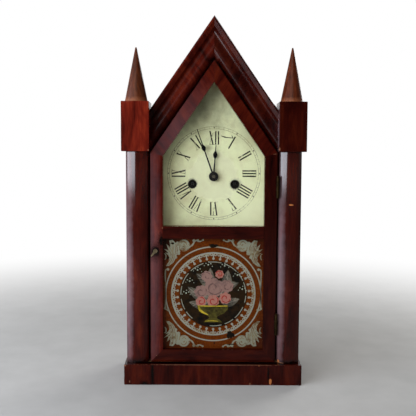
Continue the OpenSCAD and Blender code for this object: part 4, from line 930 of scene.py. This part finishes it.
class SHELFCLOCK_OT_case_front(bpy.types.Operator):
    """Veneers the plinth, the front stiles, the gable and the blocks, with the wear of the real clock and
    painted light and shade from the left
    """
    bl_idname = "shelf_clock.case_front"
    bl_label = "Case front"

    def execute(self, context):
        front, top = front_of("plinth_front"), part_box("plinth_front")[1].z / MM
        # Each mark is a centre and radii, and bloom and grime have a share or an edge as well
        # The plinth's last dark mark lies on its top under the door: painted shade, with some dust
        veneer("plinth_front", "crossbanded_plinth", UPRIGHT, 3.0, tone=0.4,
               chips=(((80.2, front, 5.0), (1.9, 3, 4.8)), ((64.0, front, 27.9), (0.9, 3, 0.6))),
               grime=(((77.2, front, 16.0), (2.4, 6, 18), 0.8), ((-84, front, 14), (4.0, 6, 40), 0.8),
                      ((-95, front, 2), (9, 5, 5), 0.8), ((0, front + 8.4, top), (150, 6.6, 1.6), 0.25)),
               lines=(((0, front + 0.6, top), (117, 1.3, 0.55)), ((52, front, 1.5), (1.0, 3, 2.2)),
                      ((-122.5, front, 27.4), (2.2, 3, 1.2)), ((-116, front, 4.5), (0.8, 3, 1.8))))
        veneer(("plinth_side_left", "plinth_side_right"), "plinth_side", LEVEL, 5.0, tone=0.6)
        front, foot = front_of("column_block_left"), foot_of("column_block_left")
        # The left block is drawn much lighter than the right one, as painted light and shade from the left,
        # on their own colour. The right block's pale mark is a painted sheen on its left side, where the
        # light from the left strikes it.
        veneer("column_block_left", "column_block", UPRIGHT, 9.0, tone=1.5,
               lines=(((-89, front, foot + 1.6), (1.2, 3, 1.2)), ((-126, front, foot + 44), (0.7, 3, 9))))
        veneer("column_block_right", "column_block_right", UPRIGHT, 11.0, tone=0.3,
               bloom=(((88, front + 14, foot + 24), (0.8, 16, 44), 0.5),),
               lines=(((89, front, foot + 3.4), (1.2, 4, 3.0)), ((126, front, foot + 30), (0.6, 3, 12))))
        # The left moulding is drawn lighter than the right one, as painted light from the left, and towards
        # its foot it is darkened with painted shade, where its curve turns away from the light
        veneer("gable_moulding_left", "moulding_left", SLOPE, 13.0, 0, tone=0.7, satin=0.24, coat=0.5,
               grime=(((-80, front, 370), (34, 60, 62), 0.97),))
        veneer("gable_moulding_right", "moulding_right", -SLOPE, 17.0, 0, tone=0.38, satin=0.2, coat=0.8,
               shine=1.45)
        veneer("gable_rails", "gable_rails", UPRIGHT, 19.0, 0.6, tone=0.3, hidden=BARE_BEHIND)
        veneer(("front_stile_left", "front_stile_right"), "front_stile", UPRIGHT, 23.0, 0.6, tone=0.3,
               hidden=BARE_BEHIND)
        return {"FINISHED"}


class SHELFCLOCK_OT_case_body(bpy.types.Operator):
    """Finishes the sides and roof, veneered outside and bare inside, and the bare back and floor"""
    bl_idname = "shelf_clock.case_body"
    bl_label = "Case sides, roof and back"

    def execute(self, context):
        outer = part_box("case_side_right")[1].x / MM
        veneer(("case_side_left", "case_side_right"), "case_side", UPRIGHT, 29.0, tone=0.8,
               hidden=(0, outer - 1.2, -1))
        veneer("roof_board_left", "roof_left", SLOPE, 31.0, tone=0.7)
        veneer("roof_board_right", "roof_right", -SLOPE, 33.0, tone=0.7)
        dress("back_board", bare_pine("bare_pine_back", UPRIGHT, 37.0), sizes().arris * 0.5)
        dress(("bottom_board", "glazing_strips", "dial_battens", "movement_blocks"),
              bare_pine("bare_pine_inside", LEVEL, 41.0), sizes().arris * 0.4)
        return {"FINISHED"}


class SHELFCLOCK_OT_columns(bpy.types.Operator):
    """Finishes the two veneered columns and the two turned finials"""
    bl_idname = "shelf_clock.columns"
    bl_label = "Columns and finials"

    def execute(self, context):
        front, foot = front_of("column_left"), foot_of("column_left")
        shellac = {"shine": 1.6, "satin": 0.13, "dull": (215, 300)}
        # The left column is drawn a little lighter than the right one, as painted light from the left. Each
        # has a pale painted reflection of that light down its left flank, and each is darker at its foot.
        veneer("column_left", "column_left", UPRIGHT, 43.0, tone=0.6, **shellac,
               bloom=(((-118.5, front, 150), (9, 30, 210), 0.42),),
               grime=(((-106, front, foot), (30, 30, 9), 0.8),))
        veneer("column_right", "column_right", UPRIGHT, 47.0, tone=0.45, **shellac,
               bloom=(((91.5, front, 150), (9, 30, 210), 0.42),),
               chips=(((92.2, front + 7, foot + 2.4), (1.6, 4, 2.6)), ((106.5, front, 252), (3.6, 4, 1.1))),
               grime=(((106, front, foot), (30, 30, 7), 0.8),),
               lines=(((93.5, front + 5, foot + 0.5), (9, 8, 1.0)),))
        dress("finial_left", stained_maple("stained_maple_left", 3.0, "#ffffff"))
        dress("finial_right", stained_maple("stained_maple_right", 8.0, "#fff0ec"))
        return {"FINISHED"}


class SHELFCLOCK_OT_door(bpy.types.Operator):
    """Veneers the door's frame, piece by piece, with its mitres, its open joints, the dirt and painted shadow
    round the latch, and painted light and shade from the left
    """
    bl_idname = "shelf_clock.door"
    bl_label = "Door frame"

    def execute(self, context):
        front = front_of("door_stile_left")
        hidden = (1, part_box("door_stile_left")[1].y / MM - 1.0)
        latch_x, latch_z = -80.3, 186.8
        # The left stile and rake are drawn lighter than the right ones, as painted light and shade from the
        # left, and carry a faint painted sheen. Round the latch the left stile is darkened with dirt and with
        # the latch's painted shadow.
        veneer("door_stile_left", "door_left", UPRIGHT, 53.0, tone=0.8, hidden=hidden,
               grime=(((latch_x + 1, front, latch_z - 1), (13, 8, 17), 0.9),
                      ((latch_x, front, latch_z), (7, 8, 8), 0.6),
                      ((-72.5, front, latch_z + 14), (5.5, 8, 15), 0.7)),
               lines=(((-70.6, front, 219), (1.0, 3, 1.6)), ((-79, front, 38), (0.8, 3, 1.2))),
               bloom=(((-85, front, 180), (14, 60, 260), 0.14),))
        veneer("door_stile_right", "door_right", UPRIGHT, 59.0, tone=0.25, hidden=hidden,
               lines=(((79, front, 321.5), (7.5, 3, 0.8)),))
        veneer("door_rake_left", "door_rake_left", SLOPE, 61.0, tone=0.65, hidden=hidden,
               bloom=(((-50, front, 350), (90, 60, 90), 0.1),))
        for name, tilt, seed, tone in (("door_rake_right", -SLOPE, 67.0, 0.5),
                                       ("door_mid_rail", LEVEL, 71.0, 0.36),
                                       ("door_bottom_rail", LEVEL, 73.0, 0.33)):
            veneer(name, name, tilt, seed, tone=tone, hidden=hidden)
        return {"FINISHED"}


class SHELFCLOCK_OT_panes(bpy.types.Operator):
    """Gives the dial's pane its glass and the tablet its painted ground"""
    bl_idname = "shelf_clock.panes"
    bl_label = "Panes"

    def execute(self, context):
        dress("dial_glass", clear_pane())
        dress("tablet_glass", tablet_paint())
        return {"FINISHED"}


class SHELFCLOCK_OT_dial(bpy.types.Operator):
    """Paints the dial and prints its numerals, minute track and dots, all worn"""
    bl_idname = "shelf_clock.dial"
    bl_label = "Dial"

    def execute(self, context):
        dress("dial_plate", dial_paint())
        dial = colours().dial
        bold = film_paint("printed_black", colours().print_black, dial, 0.31, coat=0.0)
        faded = film_paint("printed_black_faded", "#57563f", dial, 0.45, coat=0.0)
        faint = film_paint("printed_black_faint", "#6b684c", dial, 0.36, coat=0.0)
        for name, ink, draw in (("numerals_thick", bold, partial(draw_numerals, thick_pass=True)),
                                ("numerals_thin", faded, partial(draw_numerals, thick_pass=False)),
                                ("minute_track", faint, draw_minute_track),
                                ("hour_dots", bold, draw_hour_dots),
                                ("dial_scratches", bold, draw_scratches)):
            piece(name, "case", ink, draw)
        return {"FINISHED"}


class SHELFCLOCK_OT_tablet(bpy.types.Operator):
    """Stencils the tablet's rings, stems, corner scrolls and side bars, and paints its dark roundel"""
    bl_idname = "shelf_clock.tablet"
    bl_label = "Tablet ornament"

    def execute(self, context):
        bronze = film_paint("bronze_powder_stencil", colours().stencil, "#7a6a48", 0.32, 2.6)
        leaf = film_paint("bronze_powder_leaf", "#80816f", "#5c4a30", 0.36, 3.0)
        dark = film_paint("black_oil_ground", "#0b0d0c", "#24190d", 0.46, 7.0)
        brown = film_paint("amber_between_stencil", "#5a3113", "#7a6a48", 0.42)
        # The flakes are painted black as the shaded inside of the case that shows through the bare glass
        bare = film_paint("flaked_to_black", "#14120e", "#33240f", 0.4, coat=0.3)
        parts = [("rings", bronze, draw_rings), ("ring_eyes", brown, draw_ring_eyes),
                 ("roundel", dark, draw_roundel), ("dashes", bronze, draw_dashes)]
        for number, at in enumerate(corners(), 1):
            parts += [(f"corner_{number}", leaf, partial(draw_corner, at=at)),
                      (f"corner_veins_{number}", brown, partial(draw_corner_veins, at=at))]
        parts += [("side_bars", leaf, draw_side_bars), ("flakes", bare, draw_flakes)]
        for name, paint, draw in parts:
            piece("tablet_" + name, "door", paint, draw)
        return {"FINISHED"}


class SHELFCLOCK_OT_still_life(bpy.types.Operator):
    """Paints a generic footed bowl of flowers in the roundel"""
    bl_idname = "shelf_clock.still_life"
    bl_label = "Still life"

    def execute(self, context):
        # Name, paint, its colour, what it is worn to, how far, in specks of this size, and the drawing
        for name, paint, colour, worn_to, wear, cell_mm, draw in (
                ("leaves", "leaf_grey", "#635d50", "#3c3a33", 0.45, 3.0, draw_sprays),
                ("veins", "leaf_vein", "#8a8376", "#5f5850", 0.4, 2.0, draw_spray_veins),
                ("roses", "rose_grey", "#86685f", "#6c5650", 0.4, 2.6,
                 partial(draw_flowers, flowers=ROSES, layer=4)),
                ("rose_shades", "rose_shade", "#5c4742", "#8a6c62", 0.38, 2.0,
                 partial(draw_petal_strokes, flowers=ROSES, layer=5)),
                ("pinks", "petal_pink", "#9a685c", "#74503f", 0.36, 2.6,
                 partial(draw_flowers, flowers=PINKS, layer=4.5)),
                ("pink_stripes", "petal_red", "#932a22", "#7a352e", 0.36, 2.0,
                 partial(draw_petal_strokes, flowers=PINKS, layer=5.5)),
                ("buds", "cream_buds", "#99a08e", "#5d6258", 0.38, 2.0, draw_buds),
                ("bowl", "olive_bowl", "#4c461e", "#2c2814", 0.44, 5.0, draw_bowl),
                ("bowl_light", "yellow_light", "#b09a2c", "#7a6c24", 0.4, 2.0, draw_bowl_light)):
            oil = film_paint("oil_" + paint, colour, worn_to, wear, cell_mm)
            piece("still_life_" + name, "door", oil, draw)
        return {"FINISHED"}


class SHELFCLOCK_OT_hands(bpy.types.Operator):
    """Blackens the spade hands and finishes the collet that holds them"""
    bl_idname = "shelf_clock.hands"
    bl_label = "Hands"

    def execute(self, context):
        dress(("minute_hand", "hour_hand"),
              film_paint("blackened_steel_hands", "#131416", "#2e2a24", 0.38, 3.0, coat=0.25, metallic=0.6),
              0.12 * MM)
        metal("hand_collet", 0, "brass_collet", "#8c8570", "#4a4436", 0.35, (1, 1, 1))
        return {"FINISHED"}


class SHELFCLOCK_OT_hardware(bpy.types.Operator):
    """Finishes the hinges, the latch, its keeper and the wood screws"""
    bl_idname = "shelf_clock.hardware"
    bl_label = "Hinges, latch and screws"

    def execute(self, context):
        # The hinges and the latch's keeper are near black: tarnished brass, and on the hinges painted shade,
        # as they sit in the dark gap beside the door
        metal(("case_hinge_leaves", "door_hinge_leaves", "latch_keeper"), 0.15, "rolled_brass_dull",
              "#3c2f1a", "#120d07", 0.5, (2, 2, 0.8))
        metal("latch_turn", 0.3, "cast_brass_rubbed", "#8f8064", "#2e261a", 0.36, (1.4, 1.4, 1.4))
        metal("wood_screws", 0.1, "screw_steel", "#6f6f6e", "#3a322b", 0.45, (1, 1, 1))
        return {"FINISHED"}


class SHELFCLOCK_OT_movement(bpy.types.Operator):
    """Finishes the plates, wheels, arbors and springs"""
    bl_idname = "shelf_clock.movement"
    bl_label = "Movement"

    def execute(self, context):
        # The plate is darkened behind each winding hole: painted shade where little light gets in, with old
        # oil
        oily = [((side * HOLE_X, front_of("front_plate"), HOLE_Z), (13, 3, 13)) for side in (-1, 1)]
        metal(("front_plate", "back_plate", "suspension_cock"), 0.15, "rolled_brass_plates",
              colours().brass, "#6b5730", 0.38, (60, 60, 1.2), strength=0.1, oily=oily)
        metal(("time_great_wheel", "strike_great_wheel", "centre_wheel", "third_wheel", "escape_wheel",
               "hour_wheel", "minute_wheel"), 0, "cut_brass_wheels", "#b39a58", "#75602f", 0.32, (1, 8, 1),
              strength=0.1)
        metal(("time_winding_arbor", "strike_winding_arbor"), 0.4, "oiled_steel_squares", "#46433f",
              "#1c1a17", 0.25, (1, 8, 1))
        for nodes, name, colour, tarnish, roughness, cell_mm in (
                (("minute_arbor", "verge"), "turned_steel", "#9a9a98", "#57514a", 0.3, (1, 8, 1)),
                ("mainsprings", "blued_spring_steel", "#4c5158", "#33302c", 0.32, (30, 1, 30))):
            metal(nodes, 0, name, colour, tarnish, roughness, cell_mm, strength=0.1)
        return {"FINISHED"}


class SHELFCLOCK_OT_pendulum(bpy.types.Operator):
    """Finishes the pendulum, the gong and its base, and the hammer"""
    bl_idname = "shelf_clock.pendulum"
    bl_label = "Pendulum, gong and hammer"

    def execute(self, context):
        metal("pendulum_rod", 0, "drawn_iron_wire", "#7a7672", "#4a4038", 0.42, (1, 1, 9))
        metal("pendulum_bob", 0.5, "spun_brass_bob", "#b8984f", "#7d6430", 0.28, (1.2, 20, 1.2))
        metal("gong_coil", 0, "blued_gong_wire", "#3f4247", "#4a3a2c", 0.4, (2, 2, 2))
        metal("gong_base", 0.6, "japanned_cast_iron", "#2c2c2e", "#17150f", 0.6, (1.6, 1.6, 1.6),
              strength=0.5)
        metal("hammer", 0, "steel_hammer", "#6f6c69", "#453c33", 0.42, (1.5, 1.5, 1.5))
        return {"FINISHED"}


class SHELFCLOCK_OT_stage(bpy.types.Operator):
    """Makes the floor, the room's light, the lamps and the camera at the photograph's angle"""
    bl_idname = "shelf_clock.stage"
    bl_label = "Stage"

    def execute(self, context):
        make_floor()
        make_world()
        # A long window to the left gives the columns their cool strip, a soft lamp in front fills, and one
        # behind lights the back and the right side
        make_lamp("window", (-0.95, -0.62, 0.52), (0, 0, 0.33), (1.5, 0.62), 21.0, "#eef4ff")
        make_lamp("sky", (-0.35, -1.5, 1.2), (0, 0, 0.25), (1.2, 0.8), 7.5, "#fff4e6")
        make_lamp("back", (0.95, 1.15, 0.85), (0, 0, 0.25), (0.8, 0.8), 14.0, "#ffffff")
        make_camera()
        bpy.context.scene.view_settings.view_transform = "Standard"
        return {"FINISHED"}


STEPS = (SHELFCLOCK_OT_stage, SHELFCLOCK_OT_case_front, SHELFCLOCK_OT_case_body, SHELFCLOCK_OT_columns,
         SHELFCLOCK_OT_door, SHELFCLOCK_OT_panes, SHELFCLOCK_OT_dial, SHELFCLOCK_OT_tablet,
         SHELFCLOCK_OT_still_life, SHELFCLOCK_OT_hands, SHELFCLOCK_OT_hardware, SHELFCLOCK_OT_movement,
         SHELFCLOCK_OT_pendulum)


class SHELFCLOCK_PT_steps(bpy.types.Panel):
    """Lists the clock's steps, sizes and colours"""
    bl_idname = "SHELFCLOCK_PT_steps"
    bl_label = "Shelf Clock"
    bl_space_type = "VIEW_3D"
    bl_region_type = "UI"
    bl_category = "Shelf Clock"

    def draw(self, context):
        for step in STEPS:
            self.layout.operator(step.bl_idname)
        for group in (sizes(), colours()):
            for name in group.__annotations__:
                self.layout.prop(group, name)


CLASSES = (ShelfClockSizes, ShelfClockColours) + STEPS + (SHELFCLOCK_PT_steps,)


def register():
    for made in CLASSES:
        bpy.utils.register_class(made)
    bpy.types.Scene.shelf_clock_sizes = bpy.props.PointerProperty(type=ShelfClockSizes)
    bpy.types.Scene.shelf_clock_colours = bpy.props.PointerProperty(type=ShelfClockColours)


def unregister():
    del bpy.types.Scene.shelf_clock_colours
    del bpy.types.Scene.shelf_clock_sizes
    for made in reversed(CLASSES):
        bpy.utils.unregister_class(made)


def main():
    """Runs every step."""
    register()
    for step in STEPS:
        group, name = step.bl_idname.split(".")
        getattr(getattr(bpy.ops, group), name)()


if __name__ == "__main__":
    main()
